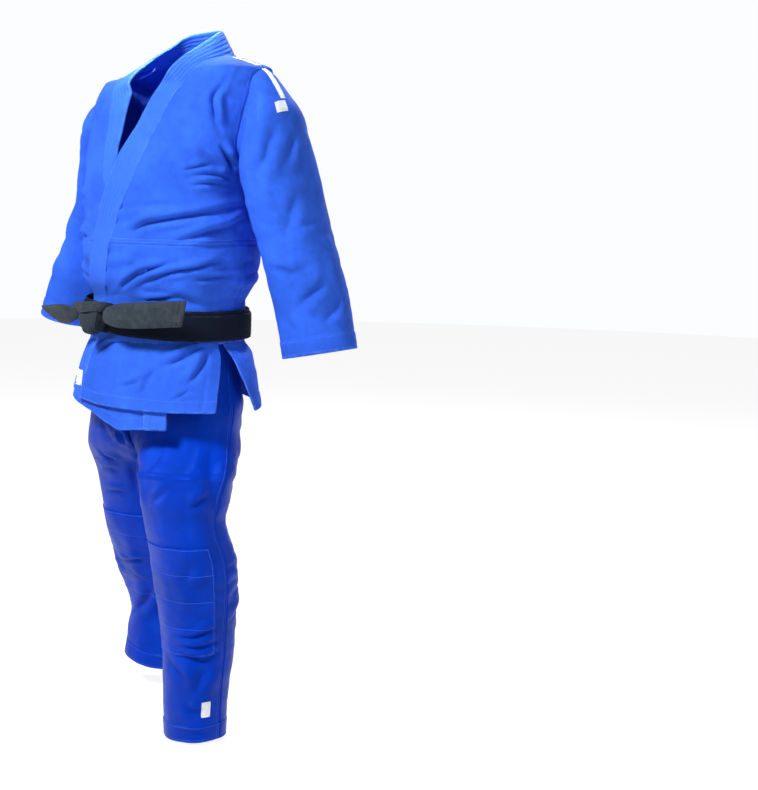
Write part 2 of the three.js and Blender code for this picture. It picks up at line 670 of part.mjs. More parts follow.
/** A cloth loop on the front of the waistband, for the drawcord. */
function cordLoop(x) {
  const [, , depth, centre] = legRow.left(WAISTBAND.top);
  const y = centre - depth - 2 * DRILL - 2 * GAP;
  const profile = new THREE.Shape([[0, 0], [-7, 4], [-7, 28], [0, 32], [0, 29.5], [-5.2, 26.5], [-5.2, 5.5], [0, 2.5]]
    .map(([dy, dz]) => new THREE.Vector2(dy, dz)));
  const strap = new THREE.ExtrudeGeometry(profile, { depth: 10, bevelEnabled: false });
  strap.applyMatrix4(new THREE.Matrix4().makeBasis(new THREE.Vector3(0, 1, 0), new THREE.Vector3(0, 0, 1),
    new THREE.Vector3(1, 0, 0)));
  return strap.translate(x - 5, y, WAISTBAND.bottom + 3);
}
add("left_cord_loop", cordLoop(16), DEEP_BLUE);
add("right_cord_loop", cordLoop(-16), DEEP_BLUE);

export default uniform;
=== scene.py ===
"""A judo uniform on an unseen wearer: jacket, tied belt and trousers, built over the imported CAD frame.

Lengths are millimetres measured from the collar's top edge until mesh() turns them into the frame's metres.
The wearer faces -Y and +X is the wearer's left.
"""
import math

import numpy as np
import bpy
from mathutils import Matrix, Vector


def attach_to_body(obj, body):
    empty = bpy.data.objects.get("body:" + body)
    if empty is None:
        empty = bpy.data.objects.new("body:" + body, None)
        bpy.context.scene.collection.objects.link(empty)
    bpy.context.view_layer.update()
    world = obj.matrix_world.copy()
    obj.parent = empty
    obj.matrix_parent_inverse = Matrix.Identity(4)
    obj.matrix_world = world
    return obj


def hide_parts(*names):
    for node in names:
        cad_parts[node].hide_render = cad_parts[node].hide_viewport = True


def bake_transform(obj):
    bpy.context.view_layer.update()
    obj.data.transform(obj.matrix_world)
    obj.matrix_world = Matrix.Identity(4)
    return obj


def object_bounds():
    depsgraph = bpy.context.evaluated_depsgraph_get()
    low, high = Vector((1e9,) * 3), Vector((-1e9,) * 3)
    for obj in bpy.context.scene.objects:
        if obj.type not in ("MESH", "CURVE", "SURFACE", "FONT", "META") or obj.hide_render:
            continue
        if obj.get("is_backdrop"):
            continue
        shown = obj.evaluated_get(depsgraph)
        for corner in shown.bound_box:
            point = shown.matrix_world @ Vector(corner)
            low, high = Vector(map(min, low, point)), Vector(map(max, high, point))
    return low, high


# ---- Measures: the CAD's, but up to 13 mm slimmer or lower at waist, right sleeve and right shoulder ----
WEAVE, DRILL, TAPE, LAPEL, GAP = 2.4, 1.6, 0.9, 6.0, 0.6
OVERLAP_LIFT = 9.0
NECK_Z = -65.0
YOKE_SEAM, WAIST_SEAM, SKIRT_TOP = -200.0, -438.0, -636.0
BELT_MIDDLE, BELT_WIDTH = -590.0, 50.0
ARM_TOP, ARM_BOTTOM, ARM_RIDGE, ARM_UNDER, ARM_HOLLOW = -100.0, -292.0, 204.0, 190.0, 24.0
LEG_SPLIT = -905.0
BAND_TOP, BAND_BOTTOM = -588.0, -626.0
SHOULDER_TILT = 0.055
POWER = 2.3
SHIFT = np.array([0.0, -38.0, 65.0])  # from these measures to the frame, in millimetres

TRUNK = [  # height, half width, centre y, depth in front, depth behind
    [-40, 93, 38, 42, 61], [-52, 99, 38, 46, 65], [-65, 104, 38, 50, 68], [-74, 134, 37, 72, 70],
    [-86, 172, 35, 94, 82], [-100, 204, 33, 112, 90],
    [-126, 207, 31, 132, 96], [-171, 207, 26, 153, 104], [-223, 205, 19, 164, 113],
    [-260, 199, 13, 172, 118],
    [-292, 190, 9, 176, 122], [-350, 188, 4, 178, 126], [-438, 190, 0, 174, 128], [-510, 188, -4, 163, 122],
    [-555, 168, -8, 148, 101], [-635, 165, -10, 146, 99], [-665, 186, -12, 158, 112],
    [-745, 206, -14, 176, 120],
    [-830, 222, -16, 188, 126],
]
LAPEL_WAIST = [  # height of the outer seam, its x, height and x of the free edge
    [-608, -58, -608, -101], [-578, -50, -578, -96], [-548, -42, -548, -91], [-514, -33, -514, -83],
    [-476, -22, -476, -73], [-438, -9, -438, -61],
]
LAPEL_FRONT = {  # the same, from the lower end up
    "left": [
        [-760, -88, -740, -124], [-735, -83, -725, -119], [-708, -79, -704, -115],
        [-680, -74, -678, -111], [-655, -69, -654, -107], [-636, -65, -636, -104],
        *LAPEL_WAIST,
        [-405, 4, -401, -48], [-374, 18, -367, -35], [-342, 33, -332, -20], [-308, 47, -297, -9],
        [-274, 60, -262, 6], [-248, 68, -235, 18], [-225, 75, -208, 31], [-200, 83, -182, 41],
        [-176, 90, -156, 48], [-148, 98, -124, 51],
    ],
    "right": [
        [-801, -88, -800, -131], [-760, -84, -760, -126], [-724, -80, -724, -121],
        [-690, -75, -690, -116], [-660, -69, -660, -110], [-636, -65, -636, -105],
        *LAPEL_WAIST,
        [-405, 4, -401, -47], [-374, 16, -367, -32], [-342, 28, -332, -16], [-308, 39, -300, 1],
        [-274, 48, -268, 10], [-248, 54, -243, 15], [-225, 58, -220, 17], [-200, 63, -194, 18],
        [-176, 69, -168, 19], [-148, 80, -138, 25],
    ],
}
LAPEL_NECK = {  # outer seam's point, free edge's point, from the front to the nape
    "left": [
        [104, -88, -122, 75, -105, -98], [108, -63, -98, 81, -80, -74], [109, -26, -79, 83, -38, -50],
        [106, 16, -69, 82, 8, -27], [97, 56, -60, 78, 40, -12], [78, 84, -53, 61, 66, -6],
        [44, 99, -50, 34, 80, -4], [0, 104, -49, 0, 84, -5],
    ],
    "right": [
        [94, -92, -136, 36, -103, -118], [102, -66, -115, 58, -62, -96], [108, -28, -97, 74, -16, -76],
        [107, 16, -83, 77, 24, -53], [97, 56, -70, 66, 58, -32], [78, 84, -58, 54, 72, -18],
        [44, 99, -50, 31, 81, -9], [0, 104, -49, 0, 84, -5],
    ],
}
SLEEVE = {  # outer x, z, inner x, z, half depth, centre y
    "left": [
        [262, -150, 197, -306, 84, 30], [281, -196, 197, -326, 92, 27], [300, -262, 200, -352, 97, 32],
        [322, -362, 206, -405, 97, 46], [346, -462, 218, -484, 93, 65], [364, -540, 228, -566, 86, 82],
        [383, -638, 241, -668, 80, 89],
    ],
    "right": [
        [251, -158, 197, -306, 84, 38], [267, -204, 197, -326, 90, 46], [285, -268, 200, -350, 92, 54],
        [308, -352, 206, -396, 92, 57], [332, -440, 218, -464, 90, 44], [354, -514, 228, -540, 85, 22],
        [374, -600, 236, -632, 80, 2],
    ],
}
SEAT = [[-588, 0, 158, 96], [-640, 0, 158, 96], [-700, 4, 164, 104], [-760, 16, 168, 112],
        [-820, 40, 146, 112], [-865, 82, 116, 108], [-905, 109, 101, 98]]
LEG = {  # height, centre x, half width, half depth, centre y
    "left": [row + [y] for row, y in zip(SEAT, [-10, -12, -20, -30, -42, -62, -88])] + [
        [-957, 113, 95, 89, -98], [-997, 118, 86, 80, -103], [-1082, 130, 90, 85, -86],
        [-1166, 137, 84, 78, -85],
        [-1250, 142, 76, 71, -87], [-1332, 146, 72, 67, -97], [-1460, 150, 66, 60, -107]],
    "right": [row + [y] for row, y in zip(SEAT, [-10, -12, -20, -28, -34, -24, -4])] + [
        [-960, 120, 94, 88, 14], [-1062, 133, 86, 78, 33], [-1161, 142, 82, 74, 74],
        [-1212, 145, 80, 72, 96],
        [-1275, 147, 76, 68, 110], [-1320, 148, 76, 68, 100], [-1410, 150, 74, 66, 92]],
}
HEM = {"left": -1440.0, "right": -1390.0}
HEM_SLOPE = {"left": 0.05, "right": 0.18}
SIDES = ((1, "left"), (-1, "right"))


def mix(a, b, t):
    return a + (b - a) * t


def fade(x, start, stop):
    """Runs smoothly from 0 to 1 as x goes from start to stop, in either direction."""
    t = np.clip((np.asarray(x, float) - start) / (stop - start), 0, 1)
    return t * t * (3 - 2 * t)


def bump(x, middle, width):
    return np.exp(-(((x - middle) / width) ** 2))


def steps(rows):
    """A function that is straight between rows of (place, value)."""
    rows = sorted(rows)
    return lambda t: np.interp(t, [r[0] for r in rows], [r[1] for r in rows])


def through(table):
    """A function of height that passes smoothly through every row without overshooting."""
    t = np.array(sorted(table), float)
    x, y = t[:, 0], t[:, 1:]
    h = np.diff(x)
    s = np.diff(y, axis=0) / h[:, None]
    m = np.zeros_like(y)
    m[0], m[-1] = s[0], s[-1]
    a, b = s[:-1], s[1:]
    same = a * b > 0
    m[1:-1] = np.where(same, 2 * a * b / np.where(same, a + b, 1), 0)

    def at(z):
        z = np.clip(np.asarray(z, float), x[0], x[-1])
        i = np.clip(np.searchsorted(x, z, side="right") - 1, 0, len(x) - 2)
        k = ((z - x[i]) / h[i])[..., None]
        hi = h[i][..., None]
        value = ((2 * k**3 - 3 * k**2 + 1) * y[i] + (k**3 - 2 * k**2 + k) * hi * m[i]
                 + (3 * k**2 - 2 * k**3) * y[i + 1] + (k**3 - k**2) * hi * m[i + 1])
        return np.moveaxis(value, -1, 0)

    return at


trunk_row = through(TRUNK)
leg_row = {name: through(rows) for name, rows in LEG.items()}


def hand(side):
    return "left" if side > 0 else "right"


def points(x, y, z):
    return np.stack(np.broadcast_arrays(x, y, z), axis=-1).astype(float)


def ring(phi, width, front, back, centre):
    s, c = np.sin(phi), np.cos(phi)
    depth = np.where(c > 0, front, back)
    r = ((np.abs(s) / width) ** POWER + (np.abs(c) / depth) ** POWER) ** (-1 / POWER)
    return r * s, centre - r * c


def tilt(x, z):
    """The wearer's right shoulder hangs lower, most of all beside the neck."""
    return SHOULDER_TILT * x * fade(z, -420, -200) - 13 * bump(x, -128, 52) * fade(z, -150, -92)


def trunk(phi, z):
    """A point of the trunk: phi is 0 at the front middle and a quarter turn at the wearer's left."""
    width, centre, front, back = trunk_row(z)
    x, y = ring(phi, width, front, back, centre)
    return points(x, y, z + tilt(x, z))


def trunk_angle(x, z, behind=False):
    width, _, front, back = trunk_row(z)
    share = np.minimum(1, np.abs(x) / width)
    depth = np.where(behind, back, front) * (1 - share**POWER) ** (1 / POWER)
    return np.arctan2(x, np.where(behind, -depth, depth))


def armhole_x(z, behind=False):
    t = np.clip((ARM_TOP - z) / (ARM_TOP - ARM_BOTTOM), 0, 1)
    return ARM_RIDGE - (ARM_RIDGE - ARM_UNDER) * t * t - np.where(behind, ARM_HOLLOW * 4 * t * (1 - t), 0)


def overlap(phi, z):
    """How far the left front stands off the right front it covers."""
    return OVERLAP_LIFT * fade(np.abs(phi), math.radians(74), math.radians(48)) * fade(z, -105, -165)


def spline(a, b, c, d, k):
    """A smooth curve from b to c as k goes from 0 to 1; a comes before them and d after them."""
    return 0.5 * (2 * b + (c - a) * k + (2 * a - 5 * b + 4 * c - d) * k**2 + (3 * b - a - 3 * c + d) * k**3)


def smooth_line(rows):
    """A function of a place counted in rows that passes smoothly through every row of numbers."""
    p = np.array(rows, float)
    last = len(p) - 1

    def at(t):
        t = np.clip(np.asarray(t, float), 0, last)
        i = np.minimum(np.floor(t).astype(int), last - 1)
        return spline(p[np.maximum(i - 1, 0)], p[i], p[i + 1], p[np.minimum(i + 2, last)], (t - i)[..., None])
    return at


def armhole(turn):
    z = mix(ARM_BOTTOM, ARM_TOP, (1 + np.cos(turn)) / 2)
    behind = np.sin(turn) < 0
    return trunk(trunk_angle(armhole_x(z, behind), z, behind), z)


def sleeve(side, turn, v):
    """A point of a sleeve: turn is 0 along the top and a quarter turn at the front; v is 1 at the cuff."""
    turn, v = np.broadcast_arrays(np.asarray(turn, float), np.asarray(v, float))
    rim = armhole(turn)
    rim[..., 2] += (side - 1) * tilt(ARM_RIDGE, ARM_TOP)
    rings = SLEEVE[hand(side)]
    across = (1 + np.cos(turn)) / 2
    stack = [rim]
    for ox, oz, ix, iz, depth, y in rings:
        stack.append(points(mix(ix, ox, across), y - depth * np.sin(turn), mix(iz, oz, across)))
    stack = np.stack(stack)
    place = np.clip(v, 0, 1) * len(rings)
    i = np.minimum(np.floor(place).astype(int), len(rings) - 1)
    grid = np.indices(i.shape)
    pick = lambda n: stack[(np.clip(n, 0, len(rings)), *grid)]
    p = spline(pick(i - 1), pick(i), pick(i + 1), pick(i + 2), (place - i)[..., None])
    p[..., 0] *= side
    return p


def leg(side, s, z):
    """A point of a trouser leg: s runs from the inner edge round the front, the outside and the back."""
    centre, width, depth, middle = leg_row[hand(side)](z)
    other = leg_row[hand(-side)](z)[3]
    opening = np.arccos(np.minimum(1, centre / width))
    angle = mix(opening, 2 * np.pi - opening, s)
    x = centre - width * np.cos(angle) + GAP / 2
    y = mix((middle + other) / 2, middle, fade(x, 0, 60)) - depth * np.sin(angle)
    return points(side * x, y, z)


def hem_height(side, s):
    name = hand(side)
    centre = leg_row[name](HEM[name])[0]
    return HEM[name] + HEM_SLOPE[name] * (np.abs(leg(side, s, np.full_like(s, HEM[name]))[..., 0]) - centre)


BELT = {"width": 173.0, "centre": -10.0, "front": 168.0, "back": 109.0, "thick": 3.0, "tilt": -10.0}


def belt(phi, height, grow):
    x, y = ring(phi, BELT["width"] + grow, BELT["front"] + grow, BELT["back"] + grow, BELT["centre"])
    return points(x, y, BELT_MIDDLE + height + BELT["tilt"] * np.sin(phi))


# ---- Folds ----
draw = np.random.default_rng(11)
SHUFFLE = np.tile(draw.permutation(256), 2)
LEAN = draw.normal(size=(256, 3))
LEAN /= np.linalg.norm(LEAN, axis=1)[:, None]


def noise(p):
    """Smooth noise of about -1 to 1, with features about one unit across."""
    cell = np.floor(p).astype(int)
    f = p - cell
    w = f * f * f * (f * (f * 6 - 15) + 10)
    total = 0
    for corner in np.ndindex(2, 2, 2):
        i, j, k = ((cell[..., n] + corner[n]) & 255 for n in range(3))
        lean = LEAN[SHUFFLE[SHUFFLE[SHUFFLE[i] + j] + k]]
        share = np.prod([w[..., n] if corner[n] else 1 - w[..., n] for n in range(3)], axis=0)
        total = total + share * (lean * (f - np.array(corner))).sum(-1)
    return total * 1.5


def waves(p, size, seed, warp=0.35):
    """Noise stretched to a size along x, y and z, its lines bent a little."""
    q = p / np.array(size, float) + seed * 17.3
    bend = noise(p / (2.2 * max(min(size), 30.0)) + seed * 5.1)
    return noise(q + warp * bend[..., None])


def rolls(n, sharp=0.06):
    """Soft round rolls with narrow valleys, from noise."""
    return np.sqrt(n * n + sharp * sharp) * 2 - 0.6


TAPER = 0.45  # the share of a crease's length over which it rises, at each end


def crease(p, n, line, width, height):
    """A crease along a line: a narrow valley with a round ridge on the line's left, seen from outside."""
    line = np.asarray(line, float)
    reach = 4.5 * width
    near = ((p > line.min(0) - reach) & (p < line.max(0) + reach)).all(-1)
    out = np.zeros(p.shape[:-1])
    if not near.any():
        return out
    q, m = p[near], n[near]
    best, side, along = np.full(len(q), 1e9), np.zeros(len(q)), np.zeros(len(q))
    for i in range(len(line) - 1):
        step = line[i + 1] - line[i]
        t = np.clip(((q - line[i]) @ step) / (step @ step), 0, 1)
        off = q - line[i] - t[:, None] * step
        dist = np.linalg.norm(off, axis=1)
        hand_of = np.einsum("ij,ij->i", np.cross(m, step / np.linalg.norm(step)), off)
        closer = dist < best
        best = np.where(closer, dist, best)
        side = np.where(closer, np.where(hand_of > 0, 1, -1), side)
        along = np.where(closer, (i + t) / (len(line) - 1), along)
    s = best * side
    taper = fade(along, 0, TAPER) * fade(along, 1, 1 - TAPER)
    shape = bump(s, width, width) + 0.35 * bump(s, -1.3 * width, width) - 0.95 * bump(s, 0, 0.6 * width)
    out[near] = height * taper * shape
    return out


def dense(rows, place, each=6):
    """Points of a surface along a smooth line through pairs of its own coordinates."""
    at = smooth_line(rows)
    t = np.linspace(0, len(rows) - 1, each * (len(rows) - 1) + 1)
    return place(*at(t).T)


def on_front(x, z):
    return trunk(trunk_angle(x, z), z)


def on_back(x, z):
    return trunk(trunk_angle(x, z, True), z)


# Creases as they hang: a line in the surface's own coordinates, half the valley's width, and its height
TORSO_CREASES = {  # (x, height)
    "front": [
        ([(35, -420), (50, -410), (80, -395), (125, -385), (165, -375), (185, -365), (190, -355)], 8, 8),
        ([(120, -435), (150, -420), (170, -410), (185, -400), (190, -375)], 9, 9),
        ([(-10, -535), (30, -510), (65, -490), (100, -480), (135, -470)], 7, 8),
        ([(40, -525), (80, -505), (115, -490), (155, -480), (175, -470), (188, -475)], 6, 8),
        ([(150, -505), (172, -500), (188, -498)], 5, 5),
        ([(50, -545), (90, -540), (125, -535)], 5, 5),
        ([(180, -115), (170, -140), (165, -160), (170, -185), (175, -210), (185, -235)], 8, 8),
        ([(180, -245), (185, -265), (186, -285), (186, -300)], 8, 10),
        ([(140, -325), (160, -320), (175, -320), (185, -325)], 5, 5.5),
        ([(150, -303), (172, -303), (186, -312)], 5, 5),
        ([(130, -298), (152, -290), (170, -284)], 5, 3.5),
        ([(-95, -135), (-115, -150), (-125, -170), (-130, -190)], 8, 4),
        ([(-70, -680), (-35, -650), (20, -630)], 7, 4.5),
        ([(100, -680), (125, -670), (145, -655), (160, -640)], 8, 6.5),
        ([(80, -735), (85, -705), (100, -680)], 8, 4),
        ([(20, -725), (55, -715), (85, -700)], 7, 3.5),
        ([(150, -720), (160, -695), (165, -665), (160, -640)], 9, 5.5),
        ([(135, -745), (150, -730), (160, -720)], 5, 3),
        ([(-185, -330), (-150, -345), (-110, -350)], 8, 6),
        ([(-190, -400), (-150, -425), (-100, -432)], 8, 6),
        ([(-188, -480), (-150, -500), (-95, -515)], 7, 6),
    ],
    "back": [
        ([(185, -425), (130, -430), (80, -445), (40, -450)], 6, 7),
        ([(-10, -430), (-65, -420), (-125, -420), (-165, -415)], 5, 6),
        ([(-105, -435), (-135, -445), (-165, -440), (-190, -435)], 5, 6),
        ([(170, -480), (120, -500), (60, -520), (0, -535), (-65, -552), (-125, -556)], 8, 9),
        ([(140, -545), (80, -535), (40, -545)], 5, 5),
        ([(-45, -205), (-55, -245), (-55, -305), (-45, -355)], 10, 6),
        ([(65, -185), (80, -245), (80, -305), (85, -345)], 11, 6),
        ([(-20, -100), (-25, -140), (-30, -170)], 8, 3),
        ([(120, -110), (140, -140), (155, -170)], 8, 5),
        ([(-165, -110), (-178, -150), (-188, -195), (-190, -245)], 8, 7),
        ([(170, -205), (178, -245), (165, -285)], 10, 7),
        ([(-125, -405), (-155, -390), (-188, -375)], 7, 7),
        ([(-45, -608), (-45, -625), (-45, -655)], 6, 7),
        ([(-105, -630), (-145, -665), (-180, -700)], 8, 4),
        ([(0, -640), (-20, -685), (-45, -725)], 9, 3.5),
    ],
}
SLEEVE_CREASES = {  # (tenths of a radian of turn, hundredths of the length)
    "left": [
        ([(5, 4), (8, 6), (11, 12), (12, 23), (13, 34), (13, 43)], 8, 8),
        ([(3, 25), (5, 30), (8, 36), (9, 40), (12, 42), (13, 47), (14, 53)], 9, 9),
        ([(-3, 31), (1, 37), (3, 42), (5, 46)], 8, 6),
        ([(15, 10), (17, 14), (21, 18), (24, 27)], 5, 6),
        ([(1, 52), (4, 54), (6, 58), (8, 62), (11, 66)], 10, 7),
        ([(-1, 60), (3, 61), (6, 62)], 6, 4.5),
        ([(16, 57), (13, 59), (11, 61)], 7, 6),
        ([(20, 72), (14, 73), (11, 75), (9, 76)], 8, 9),
        ([(1, 79), (4, 81), (7, 83), (11, 86), (13, 88)], 8, 9),
        ([(-1, 85), (1, 88), (4, 90), (5, 92)], 7, 7),
        ([(17, 89), (15, 91), (13, 94)], 6, 4.5),
        ([(1, 67), (-2, 68), (-4, 69)], 6, 4.5),
        ([(-12, 48), (-17, 46), (-22, 45), (-29, 45)], 8, 9),
        ([(-19, 59), (-23, 56), (-30, 50)], 7, 8),
        ([(-19, 71), (-23, 67), (-25, 64)], 7, 6),
        ([(-14, 74), (-17, 82), (-20, 89)], 9, 5.5),
        ([(-9, 76), (-13, 83), (-17, 88)], 8, 4),
        ([(-6, 7), (-9, 10), (-14, 11), (-19, 11)], 8, 7),
    ],
    "right": [
        ([(5, 4), (8, 8), (11, 14), (12, 25), (13, 35)], 8, 7),
        ([(9, 30), (13, 38), (17, 48), (21, 52)], 9, 8),
        ([(2, 60), (7, 64), (12, 72), (16, 74)], 8, 8),
        ([(3, 80), (8, 84), (13, 90)], 8, 6),
        ([(22, 66), (16, 62), (11, 66)], 7, 7),
        ([(-10, 33), (-12, 45), (-15, 56)], 9, 7),
        ([(-25, 44), (-22, 52), (-19, 58)], 7, 8),
        ([(-27, 62), (-22, 65), (-19, 68)], 9, 9),
        ([(-24, 76), (-20, 73), (-15, 73)], 7, 7),
        ([(0, 6), (-6, 11), (-13, 15), (-18, 16)], 8, 7),
        ([(0, 50), (-2, 59), (-5, 69)], 10, 5),
    ],
}
LEG_CREASES = {  # (hundredths of the way round, height)
    "left": [
        ([(41, -825), (42, -865), (45, -900), (47, -940), (49, -985)], 16, 8),
        ([(23, -955), (28, -930), (31, -915)], 7, 4),
        ([(37, -955), (40, -950), (43, -935), (46, -925)], 7, 4.5),
        ([(39, -1060), (35, -1080), (33, -1105), (34, -1130)], 12, 5.5),
        ([(24, -1220), (33, -1222), (39, -1212), (46, -1202)], 5, 7),
        ([(26, -1241), (33, -1243), (39, -1240), (47, -1232)], 5, 6),
        ([(25, -1262), (33, -1264), (39, -1268), (48, -1252)], 6, 7),
        ([(19, -1260), (23, -1285), (29, -1310), (31, -1340)], 9, 5.5),
        ([(40, -1280), (38, -1310), (33, -1350)], 12, 6.5),
        ([(30, -1360), (34, -1375), (41, -1380)], 7, 5),
        ([(29, -1425), (36, -1420), (44, -1425)], 7, 4),
        ([(12, -880), (16, -920), (15, -965)], 8, 6),
        ([(58, -870), (69, -885), (74, -900), (78, -915), (82, -935), (88, -970)], 10, 10),
        ([(69, -825), (77, -850), (82, -870), (86, -880), (94, -885)], 8, 9),
        ([(58, -900), (60, -970), (66, -1015), (71, -1040), (78, -1050), (86, -1035), (93, -1020)], 6, 8),
        ([(81, -1100), (84, -1080), (88, -1060)], 7, 6),
        ([(71, -1115), (69, -1140), (66, -1155)], 7, 5),
    ],
    "right": [
        ([(21, -870), (22, -890), (21, -900)], 6, 5),
        ([(4, -865), (14, -910), (15, -945), (15, -990)], 7, 7),
        ([(29, -930), (24, -920), (20, -925)], 7, 4),
        ([(30, -980), (23, -975), (18, -975)], 5, 4),
        ([(15, -1200), (19, -1230), (26, -1265), (36, -1290)], 10, 11),
        ([(31, -1150), (21, -1138), (15, -1136)], 5, 5),
        ([(8, -825), (7, -840), (8, -860)], 4, 6),
        ([(4, -820), (2, -835), (4, -860)], 4, 6),
        ([(40, -1120), (36, -1165), (30, -1200)], 9, 6),
        ([(95, -890), (89, -910), (84, -920), (79, -940), (78, -955)], 10, 10),
        ([(84, -900), (76, -910), (69, -905), (62, -885), (53, -865)], 7, 8),
        ([(91, -1015), (84, -1045), (77, -1065), (70, -1070), (63, -1045), (58, -1005)], 6, 9),
        ([(96, -1040), (87, -1065), (81, -1090), (76, -1115)], 10, 8),
        ([(89, -1115), (82, -1140), (77, -1170), (71, -1190)], 8, 6),
        ([(76, -1105), (70, -1135), (64, -1160)], 9, 6),
    ],
}


def placed(rows, place, counted=(1, 1)):
    """Creases laid on a surface; counted says how many of the table's units make up one of its own."""
    return [(dense(np.array(line) / counted, place), *size) for line, *size in rows]


CREASES = {"torso": placed(TORSO_CREASES["front"], on_front) + placed(TORSO_CREASES["back"], on_back)}
for side, name in SIDES:
    CREASES[f"{name}_sleeve"] = placed(SLEEVE_CREASES[name], lambda turn, v: sleeve(side, turn, v), (10, 100))
    CREASES[f"{name}_leg"] = placed(LEG_CREASES[name], lambda s, z: leg(side, s, z), (100, 1))


def creases(group, p, n, wide, tall):
    return sum(crease(p, n, line, wide * width, tall * height) for line, width, height in CREASES[group])


def torso_field(p, n):
    x, y, z = np.moveaxis(p, -1, 0)
    broad = 2.6 * waves(p, (150, 150, 120), 1)
    above = fade(z, -300, -400) * fade(z, -566, -535)
    blouse = above * 4.4 * rolls(waves(p, (150, 150, 36), 2, 0.5))
    gathers = (bump(z, -548, 26) + bump(z, -650, 34)) * 2.2 * waves(p, (26, 26, 160), 3)
    side = fade(np.abs(x), 95, 180)
    slanted = p + points(z * 0.7, 0, 0) * np.sign(x)[..., None]
    armpit = bump(z, -285, 60) * side * 3.4 * waves(slanted, (34, 60, 90), 4)
    drag = 1.3 * fade(z, -110, -200) * waves(p + points(0, 0, x * 0.5), (120, 120, 30), 5, 0.6)
    small = 0.8 * waves(p, (16, 16, 16), 6) + 1.1 * waves(p, (36, 36, 30), 8)
    flare = fade(z, -640, -770) * 3.2 * waves(p + points(z * 0.35, 0, 0), (70, 70, 300), 7)
    top = fade(z, -85, -130)
    soft = top * (broad + drag - 1.5) + blouse + gathers + armpit + small + flare
    return soft + creases("torso", p, n, 1.15, 1.5)


def sleeve_field(side):
    name = hand(side)

    def field(p, n):
        axis = np.array([0.25 * side, 0, -0.97])
        along = p @ axis
        x, y, z = np.moveaxis(p, -1, 0)
        low = fade(z, -190, -300)
        broad = 2.4 * waves(p, (110, 110, 130), 11 + side)
        comb = points(x * side, y, along + 0.45 * y)
        bent = (0.35 + 0.65 * bump(z, -420, 110)) * low
        elbow = bent * 1.7 * rolls(waves(comb, (120, 120, 42), 13 + side, 0.5))
        long = 1.6 * waves(points(x * side, y, along), (46, 46, 240), 15 + side)
        inner = bump(z, -330, 70) * fade(x * side, 250, 205) * 2.4 * waves(comb, (80, 80, 26), 17 + side)
        small = 0.4 * waves(p, (15, 15, 15), 19)
        start = fade(z, -95, -150)
        soft = start * (broad + long) + elbow + inner + small + mix(3.2, -1.5, start)
        return soft + creases(f"{name}_sleeve", p, n, 1.9, 0.62)

    return field


def leg_field(side):
    name = hand(side)

    def field(p, n):
        x, y, z = np.moveaxis(p, -1, 0)
        centre, _, depth, middle = leg_row[name](z)
        behind = fade((y - middle) / depth, -0.2, 0.9)
        knee = bump(z, -1150 if side > 0 else -1165, 95) * (0.35 + 1.1 * behind)
        ankle = fade(z, HEM[name] + 190, HEM[name] + 50)
        crotch = bump(z, -860, 70) * fade(np.abs(x), 130, 20)
        under_seat = fade(z, -700, -820) * fade(z, -1010, -900) * behind

        def leaning(share, across=x):
            return p + points(0, 0, share * across)

        broad = 2.6 * waves(p, (90, 90, 170), 21 + side)
        long = (0.5 + 0.5 * fade(z, -760, -960)) * 3.0 * waves(p, (40, 40, 330), 23 + side)
        folded = knee * 4.6 * rolls(waves(leaning(0.35), (95, 95, 30), 25 + side, 0.5))
        broken = ankle * 2.8 * waves(leaning(0.4), (80, 80, 46), 27 + side)
        fork = crotch * 3.6 * waves(leaning(-0.9, np.abs(x)), (60, 60, 24), 29)
        seat = under_seat * 5.5 * rolls(waves(leaning(-0.5, np.abs(x)), (120, 120, 44), 31 + side))
        small = 0.35 * waves(p, (15, 15, 15), 33)
        calm = fade(z, -600, -700)
        soft = calm * (broad + long - 2.5) + folded + broken + fork + seat + small
        return soft + creases(f"{name}_leg", p, n, 1.7, 1.0)

    return field


# ---- Panels ----
# What is done along an edge: places of grid lines and of stitch rows, in mm from it
EDGES = {
    "cut": {"lines": (0,), "stitch": ()},
    "tuck": {"lines": (0, 2.5), "stitch": ()},
    "seam": {"lines": (0, 1.2, 2.6, 4.4, 6.2, 7.1, 8, 10), "stitch": (7.1,), "dip": 1.7},
    "under": {"lines": (0, 1.5, 3, 4.5, 6, 8, 10), "stitch": (), "dip": 4.2, "reach": 4.6},
    "twin": {"lines": (0, 1.2, 2.6, 4.2, 5.2, 6.2, 8.4, 10.6, 11.6, 12.6, 15), "stitch": (5.2, 11.6),
             "dip": 1.8},
    "hem": {"lines": (0, 1.2, 3, 6, 12, 18, 20.4, 21.5, 22.6, 24, 25.2, 27), "stitch": (21.5,),
            "fold": 24, "thick": 1.5},
    "deep": {"lines": (0, 1.2, 2.4, 3.5, 4.6, 10, 18, 26, 28.4, 29.5, 30.6, 32, 33.4, 36),
             "stitch": (3.5, 29.5), "fold": 32, "thick": 1.5},
    "patch": {"lines": (0, 0.9, 1.8, 2.6, 3.4, 5), "stitch": (2.6,)},
}


def along_edges(kinds):
    """What is done along the left, right, low and high edge."""
    return dict(zip(("left", "right", "low", "high"), kinds.split()))


SEWN_DOWN = along_edges("patch patch patch patch")
STEP = 4.3


def run(p, axis):
    """Distance along a grid from its first line."""
    d = np.linalg.norm(np.diff(p, axis=axis), axis=-1)
    return np.concatenate([np.zeros_like(np.take(d, [0], axis=axis)), np.cumsum(d, axis=axis)], axis=axis)


def normals(p, towards):
    n = np.cross(np.gradient(p, axis=1), np.gradient(p, axis=0))
    n /= np.linalg.norm(n, axis=-1, keepdims=True) + 1e-12
    sign = 1 if np.sum(n * towards) > 0 else -1
    return n * sign, sign


